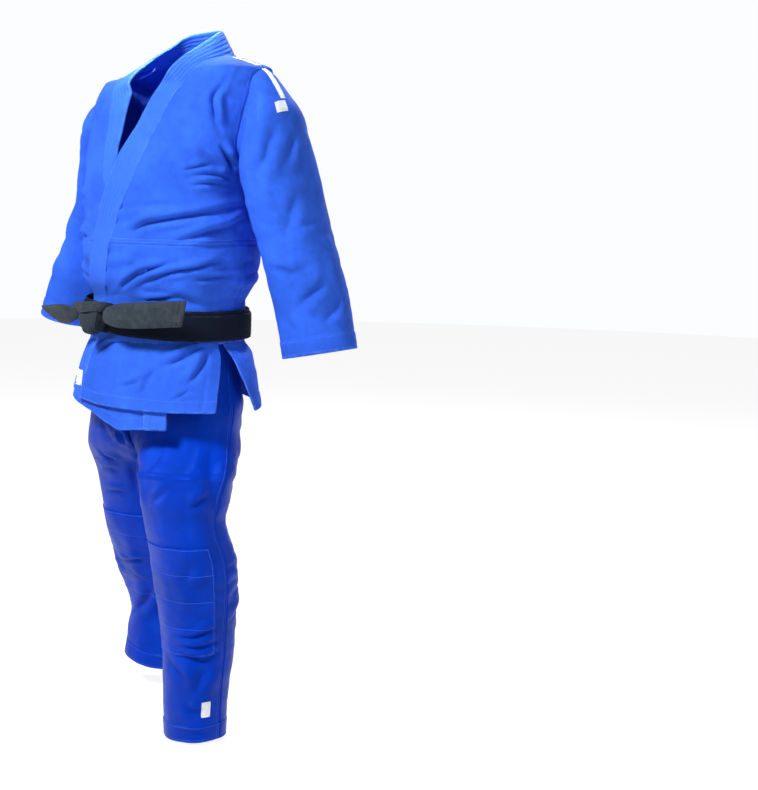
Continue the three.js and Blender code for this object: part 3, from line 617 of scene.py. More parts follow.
def lines_across(total, near, far, step):
    """Distances of grid lines over each length in total, set by the edges' own lines at both ends."""
    a, b = np.array(near, float), np.array(far, float)
    middle = max(1, int(round((total.mean() - a[-1] - b[-1]) / step)))
    room = total * 0.9
    squeeze = np.minimum(1, room / max(a[-1] + b[-1], 1e-6))
    first, last = np.outer(squeeze, a), total[:, None] - np.outer(squeeze, b[::-1])
    t = np.linspace(0, 1, middle + 1)[1:-1]
    between = first[:, -1:] + (last[:, :1] - first[:, -1:]) * t
    return np.concatenate([first, between, last], axis=1)


def spaced(at, edges, step, extra=()):
    """Grid parameters with lines at the edges' own distances."""
    t = np.linspace(0, 1, 41)
    coarse = at(*np.meshgrid(t, t))
    found = []
    for axis, (near, far) in ((1, ("left", "right")), (0, ("low", "high"))):
        length = run(coarse, axis) if axis == 1 else run(coarse, axis).T
        first, last = (EDGES[edges.get(place, "cut")]["lines"] for place in (near, far))
        want = lines_across(length[:, -1], first, last, step)
        found.append(np.array([np.interp(w, row, t) for w, row in zip(want, length)]))
    across, up = found
    if len(extra):
        up = np.sort(np.concatenate([up, np.repeat([extra], len(t), axis=0)], axis=1), axis=1)
    u = np.stack([np.interp(up.mean(0), t, places) for places in across.T], axis=1)
    v = np.stack([np.interp(across.mean(0), t, places) for places in up.T])
    return u, v


def from_trunk_axis(p):
    return p - points(0, 20, p[..., 2])


def edge_distances(p):
    across, up = run(p, 1), run(p, 0)
    return {"left": across, "right": across[:, -1:] - across, "low": up, "high": up[-1:] - up}


def seed_of(name):
    return sum(ord(c) * (k + 3) for k, c in enumerate(name)) % 97


class Sheet:
    """A grid of cloth: its two faces, its lengths along the cloth in metres, and the stitch rows on it."""

    def __init__(self, name, mid, inner, outer, normal, sign, edge, stitched):
        self.name, self.inner, self.outer, self.normal, self.sign = name, inner, outer, normal, sign
        self.stitched = stitched
        across, up = run(mid, 1), run(mid, 0)
        self.weave = np.stack([across, up, edge], axis=-1) / 1000
        quads = np.cross(np.diff(mid, axis=1)[:-1], np.diff(mid, axis=0)[:, :-1])
        self.area = float(np.linalg.norm(quads, axis=-1).sum())
        self.size = (float(across[:, -1].max()) / 1000, float(up[-1].max()) / 1000)

    def line(self, place, k):
        cut = {"left": np.s_[:, k], "right": np.s_[:, -1 - k], "high": np.s_[-1 - k]}.get(place, np.s_[k])
        return self.outer[cut], self.normal[cut]


class Cloth(Sheet):
    """A panel laid over a surface, with what its edges' seams and hems do to it."""

    def __init__(self, name, at, edges, field, thick, base=0.0, step=STEP, towards=None, rows_at=(),
                 shape=None):
        u, v = spaced(at, edges, step, rows_at)
        flat = at(u, v)
        outward = (towards or from_trunk_axis)(flat)
        n, sign = normals(flat, outward)
        off = base(u, v, flat) if callable(base) else base
        offset = off + (field(flat, n) if field else 0)
        puff, dip = np.zeros(u.shape), np.zeros(u.shape)
        stitched = []
        gap = edge_distances(flat)
        pucker = noise(flat / 9.0 + seed_of(name))
        nearest = np.minimum.reduce(list(gap.values()))
        for place, kind in edges.items():
            spec, d = EDGES[kind], gap[place]
            if "fold" in spec:
                puff += spec["thick"] * (1 - fade(d, spec["fold"] - 0.6, spec["fold"] + 1.4))
            if "dip" in spec:
                dip += spec["dip"] * bump(d, 0, spec.get("reach", 2.3))
                puff += 0.5 * bump(d, 2.0 + spec.get("reach", 2.3), 2.0)
            for row in spec["stitch"]:
                puff += -0.75 * bump(d, row, 1.0) + 0.45 * pucker * bump(d, row, 4.5)
                stitched.append((place, spec["lines"].index(row)))
        for row in rows_at:
            j = int(np.argmin(np.abs(v.mean(1) - row)))
            d = gap["low"] - gap["low"][j]
            puff += -0.75 * bump(d, 0, 1.1) + 0.4 * pucker * bump(d, 0, 5)
            stitched.append(("row", j))
        if shape is not None:
            puff = puff + shape(u, v, gap)
        mid = flat + n * (offset - dip)[..., None]
        m, _ = normals(mid, n)
        self.u = u
        super().__init__(name, mid, mid, mid + m * (thick + puff)[..., None], m, sign, nearest, stitched)


def shell(cloth):
    """Vertices, quads and attribute values of a closed sheet with rounded rims."""
    rows, cols = cloth.outer.shape[:2]
    grid = np.arange(rows * cols).reshape(rows, cols)
    quads = np.stack([grid[:-1, :-1], grid[:-1, 1:], grid[1:, 1:], grid[1:, :-1]], axis=-1).reshape(-1, 4)
    loop = np.concatenate([grid[0, :-1], grid[:-1, -1], grid[-1, :0:-1], grid[:0:-1, 0]])
    outer, inner = cloth.outer.reshape(-1, 3), cloth.inner.reshape(-1, 3)
    middle = (outer[loop] + inner[loop]) / 2
    face = cloth.outer
    inside = np.concatenate([face[1, :-1], face[:-1, -2], face[-2, :0:-1], face[:0:-1, 1]])
    out = outer[loop] - inside
    out /= np.linalg.norm(out, axis=1, keepdims=True) + 1e-9
    middle = middle + out * np.linalg.norm(outer[loop] - inner[loop], axis=1)[:, None] * 0.45
    count = rows * cols
    mids = 2 * count + np.arange(len(loop))
    nxt = np.roll(np.arange(len(loop)), -1)
    low = np.stack([loop, mids, mids[nxt], loop[nxt]], axis=1)
    high = np.stack([mids, loop + count, loop[nxt] + count, mids[nxt]], axis=1)
    faces = np.concatenate([quads, quads[:, ::-1] + count, low, high])[:, ::cloth.sign]
    weave = cloth.weave.reshape(-1, 3)
    return np.concatenate([outer, inner, middle]), faces, np.concatenate([weave, weave, weave[loop]])


def stitches(line, n, length=3.1, gap=1.0, width=0.55, rise=0.55):
    """Thread laid along a line: one small bead to each stitch."""
    far = run(line[:, None], 0)[:, 0]
    count = int(far[-1] // (length + gap))
    if count < 1:
        return np.zeros((0, 3)), np.zeros((0, 4), int)
    at = (np.arange(count) + 0.5) * far[-1] / count
    take = lambda values, t: np.stack([np.interp(t, far, values[:, k]) for k in range(3)], axis=1)
    mid, a, b, up = take(line, at), take(line, at - length / 2), take(line, at + length / 2), take(n, at)
    up /= np.linalg.norm(up, axis=1, keepdims=True)
    along = b - a
    along /= np.linalg.norm(along, axis=1, keepdims=True) + 1e-9
    wide = np.cross(along, up)
    corners = []
    for end, share in ((a, 0.5), (mid, 1.0), (b, 0.5)):
        for x, y in ((-1, 0.0), (0, 1.0), (1, 0.0), (0, -0.8)):
            corners.append(end + wide * width * share * x + up * (0.15 + rise * share * y))
    verts = np.stack(corners, axis=1).reshape(-1, 3)
    first = (np.arange(count) * 12)[:, None]
    faces = []
    for k in (0, 4):
        for j in range(4):
            after = (j + 1) % 4
            faces.append([k + j, k + after, k + 4 + after, k + 4 + j])
    faces += [[3, 2, 1, 0], [8, 9, 10, 11]]
    return verts, np.concatenate([first + np.array([face]) for face in faces])


# ---- Blender ----
import bpy  # noqa: E402
from mathutils import Matrix, Vector  # noqa: E402

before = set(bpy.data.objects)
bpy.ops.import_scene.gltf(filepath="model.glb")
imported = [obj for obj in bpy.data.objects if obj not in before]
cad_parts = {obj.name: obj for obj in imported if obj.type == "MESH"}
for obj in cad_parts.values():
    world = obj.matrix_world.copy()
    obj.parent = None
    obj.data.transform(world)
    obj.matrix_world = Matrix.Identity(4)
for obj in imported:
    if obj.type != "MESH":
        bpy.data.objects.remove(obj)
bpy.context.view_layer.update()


def to_frame(p):
    return (np.asarray(p, float) + SHIFT) / 1000


class Graph:
    """A material and its nodes."""

    def __init__(self, name):
        self.material = bpy.data.materials.new(name)
        self.material.use_nodes = True
        self.tree = self.material.node_tree
        self.tree.nodes.clear()

    def add(self, kind, values=None, **settings):
        node = self.tree.nodes.new(f"ShaderNode{kind}")
        for key, value in settings.items():
            setattr(node, key, value)
        for key, value in (values or {}).items():
            if isinstance(value, bpy.types.NodeSocket):
                self.tree.links.new(value, node.inputs[key])
            else:
                node.inputs[key].default_value = value
        return node

    def math(self, how, a, b=0.0, c=None):
        values = {0: a, 1: b} if c is None else {0: a, 1: b, 2: c}
        return self.add("Math", values, operation=how).outputs[0]

    def speckle(self, place, scale, detail, rough=0.5):
        values = {"Vector": place, "Scale": scale, "Detail": detail, "Roughness": rough}
        return self.add("TexNoise", values).outputs["Fac"]

    def mixed(self, factor, a, b):
        return self.add("Mix", {0: factor, 6: a, 7: b}, data_type="RGBA", clamp_factor=True).outputs[2]

    def finish(self, **values):
        shader = self.add("BsdfPrincipled", {name.replace("_", " "): value for name, value in values.items()})
        self.tree.links.new(shader.outputs[0], self.add("OutputMaterial").inputs[0])
        return self.material

    def ramp(self, value, low, high):
        return self.add("MapRange", {"Value": value, "From Min": low, "From Max": high},
                        interpolation_type="SMOOTHSTEP").outputs["Result"]


def rgba(colour, factor=1.0):
    return (*[min(1.0, c * factor) for c in colour], 1.0)


def weave_height(g, place, kind):
    """The height of the threads, from 0 to 1, from a place in metres along and across the cloth."""
    if kind == "grain":
        size = {"Brick Width": 3.6, "Row Height": 1.7, "Mortar Size": 0.32, "Mortar Smooth": 1.0}
        brick = g.add("TexBrick", {"Vector": place, "Scale": 1000.0, **size}, offset=0.5)
        return g.math("SUBTRACT", 1.0, brick.outputs["Fac"])
    xyz = g.add("SeparateXYZ", {0: place})
    x, y = xyz.outputs[0], xyz.outputs[1]
    if kind == "diamond":
        a = g.math("SINE", g.math("MULTIPLY", g.math("ADD", x, y), 1050.0))
        b = g.math("SINE", g.math("MULTIPLY", g.math("SUBTRACT", x, y), 1050.0))
        coarse = g.math("POWER", g.math("ABSOLUTE", g.math("MULTIPLY", a, b)), 0.5)
        fine = g.math("ABSOLUTE", g.math("SINE", g.math("MULTIPLY", y, 3900.0)))
        return g.math("MULTIPLY_ADD", fine, 0.3, g.math("MULTIPLY", coarse, 0.7))
    if kind == "twill":
        line = g.math("SINE", g.math("MULTIPLY", g.math("MULTIPLY_ADD", x, 0.8, y), 5200.0))
        return g.math("MULTIPLY_ADD", line, 0.5, 0.5)
    line = g.math("SINE", g.math("MULTIPLY", y, 2800.0))  # ribs along the tape
    cross = g.math("SINE", g.math("MULTIPLY", x, 5200.0))
    return g.math("MULTIPLY_ADD", g.math("MULTIPLY", line, cross), 0.5, 0.5)


def fabric(name, colour, kind, depth, rough, sheen, tint, specular=0.3, spread=0.1, wear=0.3):
    g = Graph(name)
    place = g.add("Attribute", attribute_name="weave").outputs["Vector"]
    solid = g.add("TexCoord").outputs["Object"]
    height = weave_height(g, place, kind)
    fuzz = g.speckle(solid, 1400.0, 2.0)
    broad = g.speckle(solid, 9.0, 3.0, 0.6)
    patchy = g.speckle(solid, 70.0, 3.0, 0.7)
    edge = g.add("SeparateXYZ", {0: place}).outputs[2]
    worn = g.math("MULTIPLY", g.ramp(edge, 0.0035, 0.0), g.ramp(patchy, 0.35, 0.7))
    tone = g.mixed(g.ramp(broad, 0.3, 0.7), rgba(colour, 1 - spread), rgba(colour, 1 + spread))
    tone = g.mixed(g.math("MULTIPLY", g.ramp(patchy, 0.55, 0.35), spread), tone, rgba(colour, 0.4))
    # Darker where the threads lie low: painted shade in the weave's hollows.
    tone = g.mixed(g.math("MULTIPLY", g.math("SUBTRACT", 1.0, height), 0.35), tone, rgba(colour, 0.45))
    tone = g.mixed(g.math("MULTIPLY", worn, wear), tone, rgba(tint))
    level = g.math("MULTIPLY_ADD", fuzz, 0.35, g.math("MULTIPLY_ADD", patchy, 0.25, height))
    bump_node = g.add("Bump", {"Strength": 0.75, "Distance": depth, "Height": level})
    return g.finish(Base_Color=tone, Roughness=rough, Specular_IOR_Level=specular, Sheen_Weight=sheen,
                    Sheen_Roughness=0.45, Sheen_Tint=rgba(tint), Specular_Tint=rgba(tint),
                    Normal=bump_node.outputs["Normal"])


BLUE = (0.032, 0.130, 0.80)
LAPEL_BLUE = (0.036, 0.140, 0.82)
DEEP = (0.0005, 0.031, 0.43)
# One black belt in two tones: the wraps' colour is darkened as painted shade, and the knot's and ends' colour
# is lightened as painted light.
BELT_BLACK_PAINTED_SHADE = (0.006, 0.009, 0.018)
BELT_BLACK_PAINTED_LIGHT = (0.022, 0.031, 0.042)
WHITE = (0.80, 0.84, 0.90)
PALE = (0.16, 0.36, 1.0)
GLOSS = (0.03, 0.22, 1.0)
MATERIALS = {
    "jacket_weave": fabric("rice_grain_weave", BLUE, "grain", 0.0014, 0.8, 0.08, PALE, 0.2, 0.17),
    "jacket_skirt": fabric("diamond_weave", BLUE, "diamond", 0.0014, 0.8, 0.08, PALE, 0.2, 0.17),
    "lapel": fabric("lapel_twill", LAPEL_BLUE, "twill", 0.0004, 0.75, 0.08, PALE, 0.2),
    "trouser_drill": fabric("trouser_drill", DEEP, "twill", 0.0003, 0.44, 0.04, GLOSS, 0.5, 0.14, 0.15),
    # The wraps take the painted-shade tone of the belt; the knot and ends take its painted-light tone.
    "belt": fabric("belt_rib", BELT_BLACK_PAINTED_SHADE, "rib", 0.0005, 0.8, 0.03, (0.3, 0.34, 0.5), 0.15, 0.1, 0.05),
    "belt_end": fabric("belt_end_rib", BELT_BLACK_PAINTED_LIGHT, "rib", 0.0005, 0.75, 0.1, (0.4, 0.44, 0.5), 0.3, 0.03, 0.04),
    "label": fabric("woven_label", WHITE, "rib", 0.0006, 0.6, 0.1, (1.0, 1.0, 1.0), 0.35, 0.06),
}


def thread(name, colour):
    g = Graph(name)
    solid = g.add("TexCoord").outputs["Object"]
    twist = g.speckle(solid, 900.0, 2.0)
    tone = g.mixed(g.ramp(twist, 0.3, 0.7), rgba(colour, 0.8), rgba(colour, 1.2))
    bump_node = g.add("Bump", {"Strength": 0.4, "Distance": 0.0002, "Height": twist})
    return g.finish(Base_Color=tone, Roughness=0.5, Sheen_Weight=0.2, Normal=bump_node.outputs["Normal"])


THREADS = {
    "jacket_weave": thread("jacket_thread", (0.03, 0.15, 0.95)),
    "trouser_drill": thread("trouser_thread", (0.02, 0.10, 0.80)),
    "belt": thread("belt_thread", (0.035, 0.036, 0.042)),
    "label": thread("label_thread", (0.7, 0.74, 0.8)),
}
THREADS["jacket_skirt"] = THREADS["lapel"] = THREADS["jacket_weave"]
THREADS["belt_end"] = THREADS["belt"]


def in_scene(name, data):
    made = bpy.data.objects.new(name, data)
    bpy.context.scene.collection.objects.link(made)
    return made


def mesh(name, verts, faces, slot, weave, seams=()):
    """An object in the frame's metres from vertices in mm; seams is a list of (vertices, faces) of thread."""
    all_verts, all_faces, values, slots = [verts], [faces], [weave], [np.zeros(len(faces), int)]
    count = len(verts)
    for v, f in seams:
        all_verts.append(v)
        all_faces.append(f + count)
        values.append(np.zeros((len(v), 3)) + 0.01)
        slots.append(np.ones(len(f), int))
        count += len(v)
    data = bpy.data.meshes.new(name)
    data.from_pydata(to_frame(np.concatenate(all_verts)).tolist(), [], np.concatenate(all_faces).tolist())
    data.attributes.new("weave", "FLOAT_VECTOR", "POINT").data.foreach_set(
        "vector", np.concatenate(values).astype(np.float32).ravel())
    data.materials.append(MATERIALS[slot])
    if len(slots) > 1:
        data.materials.append(THREADS[slot])
    data.polygons.foreach_set("material_index", np.concatenate(slots).astype(np.int32))
    data.polygons.foreach_set("use_smooth", np.ones(len(data.polygons), bool))
    data.update()
    return in_scene(name, data)


def attach(made, body):
    """body is a body's name, or a tuple (body, body, start, end) that is not used: such cloth is only baked
    in place.
    """
    if isinstance(body, str):
        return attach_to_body(made, body)
    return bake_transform(made)


def add(cloth, nodes, slot, body):
    verts, faces, weave = shell(cloth)
    seams = [stitches(*cloth.line(*row)) for row in cloth.stitched]
    made = mesh(cloth.name, verts, faces, slot, weave, seams)
    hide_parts(*nodes)
    attach(made, body)
    return made


# ---- Jacket ----
SIDE = math.pi / 2
SEAM_ANGLE = GAP / 180
seam_x = {name: steps([(r[0], r[1]) for r in LAPEL_FRONT[name]]
                      + [(z - float(tilt(side * x, z)), x) for x, _, z, *_ in LAPEL_NECK[name][:3]])
          for side, name in SIDES}


def lapel_angle(side, z, under=-6):
    x = seam_x[hand(side)](z) + under
    return np.minimum(SIDE - SEAM_ANGLE, np.abs(trunk_angle(np.abs(x), z))) * np.sign(x)


def front_body(side):
    """A front from the waist seam up to the shoulder, between the lapel's seam and the armhole."""
    inner = np.array([-438, -405, -374, -342, -308, -274, -248, -225, -200, -176, -148, -122, -98, -79,
                      -65 if side > 0 else -60], float)
    outer = np.array([-438, -405, -374, -345, -318, -292, -268, -244, -220, -196, -172, -150, -130, -112,
                      ARM_TOP], float)
    ridge = SIDE - SEAM_ANGLE
    phi_in = lapel_angle(side, inner)
    rim = np.minimum(ridge, trunk_angle(armhole_x(outer) - 0.5, outer))
    phi_out = np.where(outer > ARM_BOTTOM, rim, ridge)
    phi_in[-1] = phi_out[-1] = ridge
    t = np.linspace(0, 1, len(inner))

    def at(u, v):
        phi = mix(np.interp(v, t, phi_in), np.interp(v, t, phi_out), u)
        return trunk(side * phi, mix(np.interp(v, t, inner), np.interp(v, t, outer), u))
    return at


def lifted(side):
    def base(u, v, p):
        if side < 0:
            return np.zeros(u.shape)
        phi = np.arctan2(p[..., 0], 20 - p[..., 1])
        return overlap(phi, p[..., 2])
    return base


def front_panel(side, top, low, edge):
    def at(u, v):
        z = mix(low(u), top, v)
        z_in = mix(low(np.zeros_like(u)), top, v)
        return trunk(side * mix(lapel_angle(side, z_in), edge(v), u), z)
    return at


def back_panel(top, low, edge=lambda v: np.full_like(v, SIDE - 0.025), share=lambda u: u):
    def at(u, v):
        z0 = mix(low(np.zeros_like(u)), top(np.zeros_like(u)), v)
        hollow = np.where(z0 > ARM_BOTTOM, trunk_angle(armhole_x(z0, True) - 0.5, z0, True), 0)
        first = np.maximum(edge(v), hollow)
        phi = mix(first, 2 * np.pi - first, mix(u, share(u), v**2))
        return trunk(phi, mix(low(u), top(u), v))
    return at


def level(z):
    return lambda u: np.full_like(np.asarray(u, float), z)


to_side = level(SIDE - SEAM_ANGLE)
yoke_top = steps([(0, ARM_TOP), (0.25, -65), (0.31, -60), (0.38, -51), (0.5, -42), (0.62, -44), (0.69, -50),
                  (0.75, -58), (1, ARM_TOP)])
yoke_share = steps([(0, 0), (0.25, 0), (0.75, 1), (1, 1)])


def panel(node, at, kinds, slot, body="jacket", base=0.0):
    add(Cloth(f"{node}_cloth", at, along_edges(kinds), torso_field, WEAVE, base), [node], slot, body)


for side, name in SIDES:
    panel(f"{name}_front_body", front_body(side), "tuck seam twin seam", "jacket_weave",
          base=lifted(side))
    panel(f"{name}_front_waist", front_panel(side, WAIST_SEAM + 4, level(SKIRT_TOP), to_side),
          "tuck seam cut under", "jacket_skirt", base=lifted(side))
panel("back_yoke", back_panel(yoke_top, level(YOKE_SEAM), share=yoke_share), "under under twin cut",
      "jacket_weave")
panel("back_body", back_panel(level(YOKE_SEAM + 4), level(WAIST_SEAM)), "under under twin under",
      "jacket_weave")
panel("back_waist", back_panel(level(WAIST_SEAM + 4), level(SKIRT_TOP)), "under under cut under",
      "jacket_skirt")

FLAP_TOP = SKIRT_TOP - GAP
FRONT_VENT, BACK_VENT = np.radians((66, 74)), np.radians((96, 80))  # at the hem and at the top
outer_hem = steps([(0, -757), (0.2, -763), (1, -768)])
inner_hem = steps([(0, -801), (0.22, -808), (0.5, -778), (1, -752)])
back_hem = steps([(0, -772), (0.3, -757), (0.7, -757), (1, -772)])
FLAPS = {name: ("jacket", name, (0, y, -632), (0, y, -735))
         for name, y in (("outer_flap", -180), ("inner_flap", -180), ("back_flap", 98))}
for node, side, hem, above in (("outer", 1, outer_hem, "left"), ("inner", -1, inner_hem, "right")):
    panel(f"{node}_front_skirt", front_panel(side, FLAP_TOP, hem, lambda v: mix(*FRONT_VENT, v)),
          "tuck hem hem cut", "jacket_skirt", body=FLAPS[f"{node}_flap"],
          base=lifted(side))
panel("back_skirt", back_panel(level(FLAP_TOP), back_hem, lambda v: mix(*BACK_VENT, v)), "hem hem hem cut",
      "jacket_skirt", body=FLAPS["back_flap"])


# ---- Lapel band ----
def lapel_edges(side):
    name = hand(side)
    edges = [[], []]
    for row in reversed(LAPEL_NECK[name]):
        for k in (0, 1):
            edges[k].append([side * row[3 * k], row[3 * k + 1], row[3 * k + 2]])
    for row in reversed(LAPEL_FRONT[name]):
        for k in (0, 1):
            z, x = float(row[2 * k]), side * row[2 * k + 1]
            phi = trunk_angle(x, z)
            here = trunk(phi + np.array([[-0.01, 0.01]] * 2), z + np.array([[0.0, 0.0], [2.0, 2.0]]))
            n, _ = normals(here, np.array([x, -200.0, 0]))
            p = trunk(phi, z)
            lift = (float(overlap(phi, z)) if side > 0 else 0) + 2 + float(torso_field(p[None], n[0, :1])[0])
            edges[k].append(list(p + n[0, 0] * lift))
    return smooth_line(edges[0]), smooth_line(edges[1]), len(edges[0])


CHANNELS = 6
LAPEL_WIDTH = 46


def lapel_piece(name, side, first, last, nodes, body, far_end):
    outer, free, _ = LAPELS[side]

    def at(u, v):
        t = mix(first, last, v)
        return outer(t) + (free(t) - outer(t)) * u[..., None]

    def valleys(u, width):
        return sum(bump((u - k / CHANNELS) * width, 0, 0.95) for k in range(1, CHANNELS))

    def channels(u, v, gap):
        rows = valleys(u, (gap["left"] + gap["right"]).mean())
        crown = 1 - (2 * u - 1) ** 8
        return -1.15 * rows - 1.6 * (1 - crown) + 0.35 * noise(points(u * 9, v * 90, seed_of(name)))

    cloth = Cloth(name, at, {"low": "cut", "high": far_end}, None, LAPEL, -LAPEL / 2, 1.25, shape=channels)
    cloth.inner = cloth.inner + cloth.normal * (0.9 * valleys(cloth.u, LAPEL_WIDTH))[..., None]
    cloth.stitched = [("left", int(np.argmin(np.abs(cloth.u[0] - k / CHANNELS)))) for k in range(1, CHANNELS)]
    add(cloth, nodes, "lapel", body)


LAPELS = {side: lapel_edges(side) for side, _ in SIDES}
for side, name in SIDES:
    total = LAPELS[side][2] - 1
    skirt = total - [r[0] for r in LAPEL_FRONT[name]].index(-636)
    flap = FLAPS["outer_flap" if side > 0 else "inner_flap"]
    lapel_piece(f"{name}_lapel_band", side, 0, skirt, [f"{name}_collar", f"{name}_lapel"], "jacket", "cut")
    lapel_piece(f"{name}_lapel_tail", side, skirt, total, [f"{name}_lapel_end"], flap, "hem")

# ---- Sleeves ----
ON_WEAVE = WEAVE + GAP


def from_sleeve_axis(side):
    return lambda p: p - points(side * (200 + 0.25 * (-200 - p[..., 2])), 45, p[..., 2])


def sleeve_part(name, side, turns, places, edges, thick, base, step=STEP):
    def at(u, v):
        place = mix(*places, v)
        p = sleeve(side, mix(*turns, u), place)
        p[..., 0] -= side * 8 * fade(place, 0.045, 0)  # the seam allowance, inside the body
        return p
    return Cloth(name, at, edges, sleeve_field(side), thick, base, step, from_sleeve_axis(side))


def from_body(side):
    """The jacket, the sleeve's body and two points by the armhole, for a sleeve; attach() only bakes such
    cloth in place.
    """
    start, end = (side * ARM_RIDGE, 33, ARM_TOP), (side * (ARM_RIDGE + 50), 33, ARM_TOP - 3)
    return ("jacket", f"{hand(side)}_sleeve_body", start, end)


for side, name in SIDES:
    bend = from_body(side)
    add(sleeve_part(f"{name}_sleeve_cloth", side, (np.pi + 0.05, -np.pi + 0.004), (1.0, 0.0),
                    along_edges("under seam deep under"), WEAVE, 0.0),
        [f"{name}_sleeve"], "jacket_weave", bend)
    add(sleeve_part(f"{name}_cuff_hem", side, (np.pi - 0.02, -np.pi + 0.02), (0.994, 0.93), {"high": "patch"},
                    1.2, -GAP - 1.2, 6), [f"{name}_cuff_facing"], "jacket_weave", bend)
    add(sleeve_part(f"{name}_sleeve_stripe", side, (0.14, -0.02), (0.135, 0.012),
                    {"left": "patch", "right": "patch", "low": "patch"}, TAPE, ON_WEAVE - 0.3, 2.5),
        [f"{name}_sleeve_tape"], "label", bend)
add(sleeve_part("sleeve_label", 1, (0.4, 0.05), (0.21, 0.147), SEWN_DOWN, TAPE, ON_WEAVE - 0.3, 2),
    ["sleeve_badge"], "label", from_body(1))


def shoulder_stripe(side):
    def at(u, v):
        z = mix(NECK_Z - 9, ARM_TOP + 5, v)
        return trunk(side * (SIDE + ((2 * u - 1) * 7.5 - 10) / trunk_row(z)[0]), z)
    return at


for side, name in SIDES:
    add(Cloth(f"{name}_shoulder_stripe", shoulder_stripe(side), {"left": "patch", "right": "patch"},
              torso_field, TAPE, ON_WEAVE - 0.6, 2.5),
        [f"{name}_shoulder_tape"], "label", "jacket")


def skirt_label(u, v):
    z = mix(-734, -704, v)
    return trunk(trunk_angle(mix(-112, -88, u), z), z)


add(Cloth("skirt_label", skirt_label, SEWN_DOWN, torso_field, TAPE, OVERLAP_LIFT + 2 + LAPEL / 2, 2),
    ["skirt_badge"], "label", FLAPS["outer_flap"])


# ---- Belt ----
def belt_wrap(name, grow, shift, seed):
    def at(u, v):
        phi = -0.22 + mix(0.003, 2 * np.pi - 0.003, u)
        return belt(phi, mix(-0.5, 0.5, v) * BELT_WIDTH + shift, grow)

    def ribs(u, v, gap):
        return 0.28 * np.cos(v * 2 * np.pi * 9) - 0.8 * (2 * v - 1) ** 12

    def sag(p, n):
        return 1.1 * waves(p, (60, 60, 60), seed) + 0.5 * waves(p, (22, 22, 22), seed + 1)

    return Cloth(name, at, {}, sag, BELT["thick"], 0.0, 1.4, shape=ribs)


class Strap:
    """A strap of the belt along a smooth line, with its own width and lean at each point."""

    def __init__(self, rows, slant=0.0, thick=3.2, step=3.0, ribs=9):
        at = smooth_line(rows)
        length = len(rows) - 1
        count = max(6, int(sum(np.linalg.norm(np.diff(np.array(rows, float)[:, :3], axis=0), axis=1)) / step))
        t = np.linspace(0, length, count)
        rows_at = at(t)
        centre, wide, width = rows_at[:, :3], rows_at[:, 3:6], rows_at[:, 6]
        wide = wide / np.linalg.norm(wide, axis=1, keepdims=True)
        v = np.linspace(-0.5, 0.5, 37)
        along = np.gradient(centre, axis=0)
        along /= np.linalg.norm(along, axis=1, keepdims=True)
        lag = (slant * (t / length) ** 2)[:, None] * v
        beside = wide[:, None] * (width[:, None] * v)[..., None]
        self.p = centre[:, None] + beside + along[:, None] * lag[..., None]
        self.v = v
        self.thick, self.ribs = thick, ribs

    def cloth(self, name, bow):
        grid = np.swapaxes(self.p, 0, 1)
        n, sign = normals(grid, forwards(grid))
        v = (self.v + 0.5)[:, None] * np.ones(grid.shape[1])
        mid = grid + n * (bow * (1 - (2 * v - 1) ** 2) + 0.5 * noise(grid / 18 + 3))[..., None]
        half = self.thick / 2 + 0.28 * np.cos(v * 2 * np.pi * self.ribs) - 0.9 * (2 * v - 1) ** 12
        half = n * half[..., None]
        return Sheet(name, mid, mid - half, mid + half, n, sign, np.full_like(v, 0.02), [])


def forwards(p):
    return points(0, -1, 0) + 0 * p


for turn, grow, shift, seed, under in (("inner", 0, 4, 41, "back_waist_cloth"),
                                       ("outer", BELT["thick"] + GAP, -4, 43, "belt_inner_turn")):
    add(belt_wrap(f"belt_{turn}_turn", grow, shift, seed), [f"belt_{turn}_wrap"], "belt", "jacket")


def knot_bulge():
    """The knot's body: the belt passed round itself, its ribs running over the top and under."""
    half = np.array([27.0, 17.5, 29.0])
    t = np.linspace(-1, 1, 56)[1:-1] * np.pi / 2
    turn = np.linspace(0, 2 * np.pi, 121)[:-1]
    across, turn = np.meshgrid(np.sin(t), turn, indexing="ij")
    round_off = (1 - np.abs(across) ** 3.4) ** (1 / 2.4)
    c, s = np.cos(turn), np.sin(turn)
    r = (np.abs(c) ** 2.5 + np.abs(s) ** 2.5) ** (-1 / 2.5)
    x = across * half[0] * (1 - 0.16 * np.maximum(0, -s)) + 3 * s
    p = points(x, -half[1] * r * c * round_off, half[2] * r * s * round_off)
    out = p / half**2
    out /= np.linalg.norm(out, axis=-1, keepdims=True)
    edge = 2.2 * fade(np.abs(across), 0.90, 0.80) + 0.3 * np.cos(across * half[0] * 2 * np.pi / 5.6)
    dent = (-3.0 * bump(across + 0.25 * s, 0.42, 0.10) * fade(s, -0.2, -0.9)
            - 2.4 * bump(across - 0.5 * s, -0.35, 0.12) * fade(s, 0.0, -0.7))
    p = p + out * (edge + dent + 0.9 * noise(p / 19 + 4))[..., None]
    rows, cols = across.shape
    grid = np.arange(rows * cols).reshape(rows, cols)
    nxt = np.roll(grid, -1, axis=1)
    faces = np.stack([grid[:-1], grid[1:], nxt[1:], nxt[:-1]], axis=-1).reshape(-1, 4)
    ends = []
    for ring_of, flip in ((grid[0], False), (grid[-1], True)):
        for j in range(0, cols, 2):
            k = [ring_of[j], ring_of[(j + 1) % cols], ring_of[(j + 2) % cols]]
            ends.append((k[::-1] if flip else k) + [rows * cols + int(flip)])
    tips = np.array([p[0].mean(0), p[-1].mean(0)])
    verts = np.concatenate([p.reshape(-1, 3), tips]) + [-38, -204, -590]
    weave = np.stack([turn * 24, across * half[0], np.full_like(turn, 20)], axis=-1).reshape(-1, 3) / 1000
    return verts, np.concatenate([faces, np.array(ends)]), np.concatenate([weave, weave[:2]])


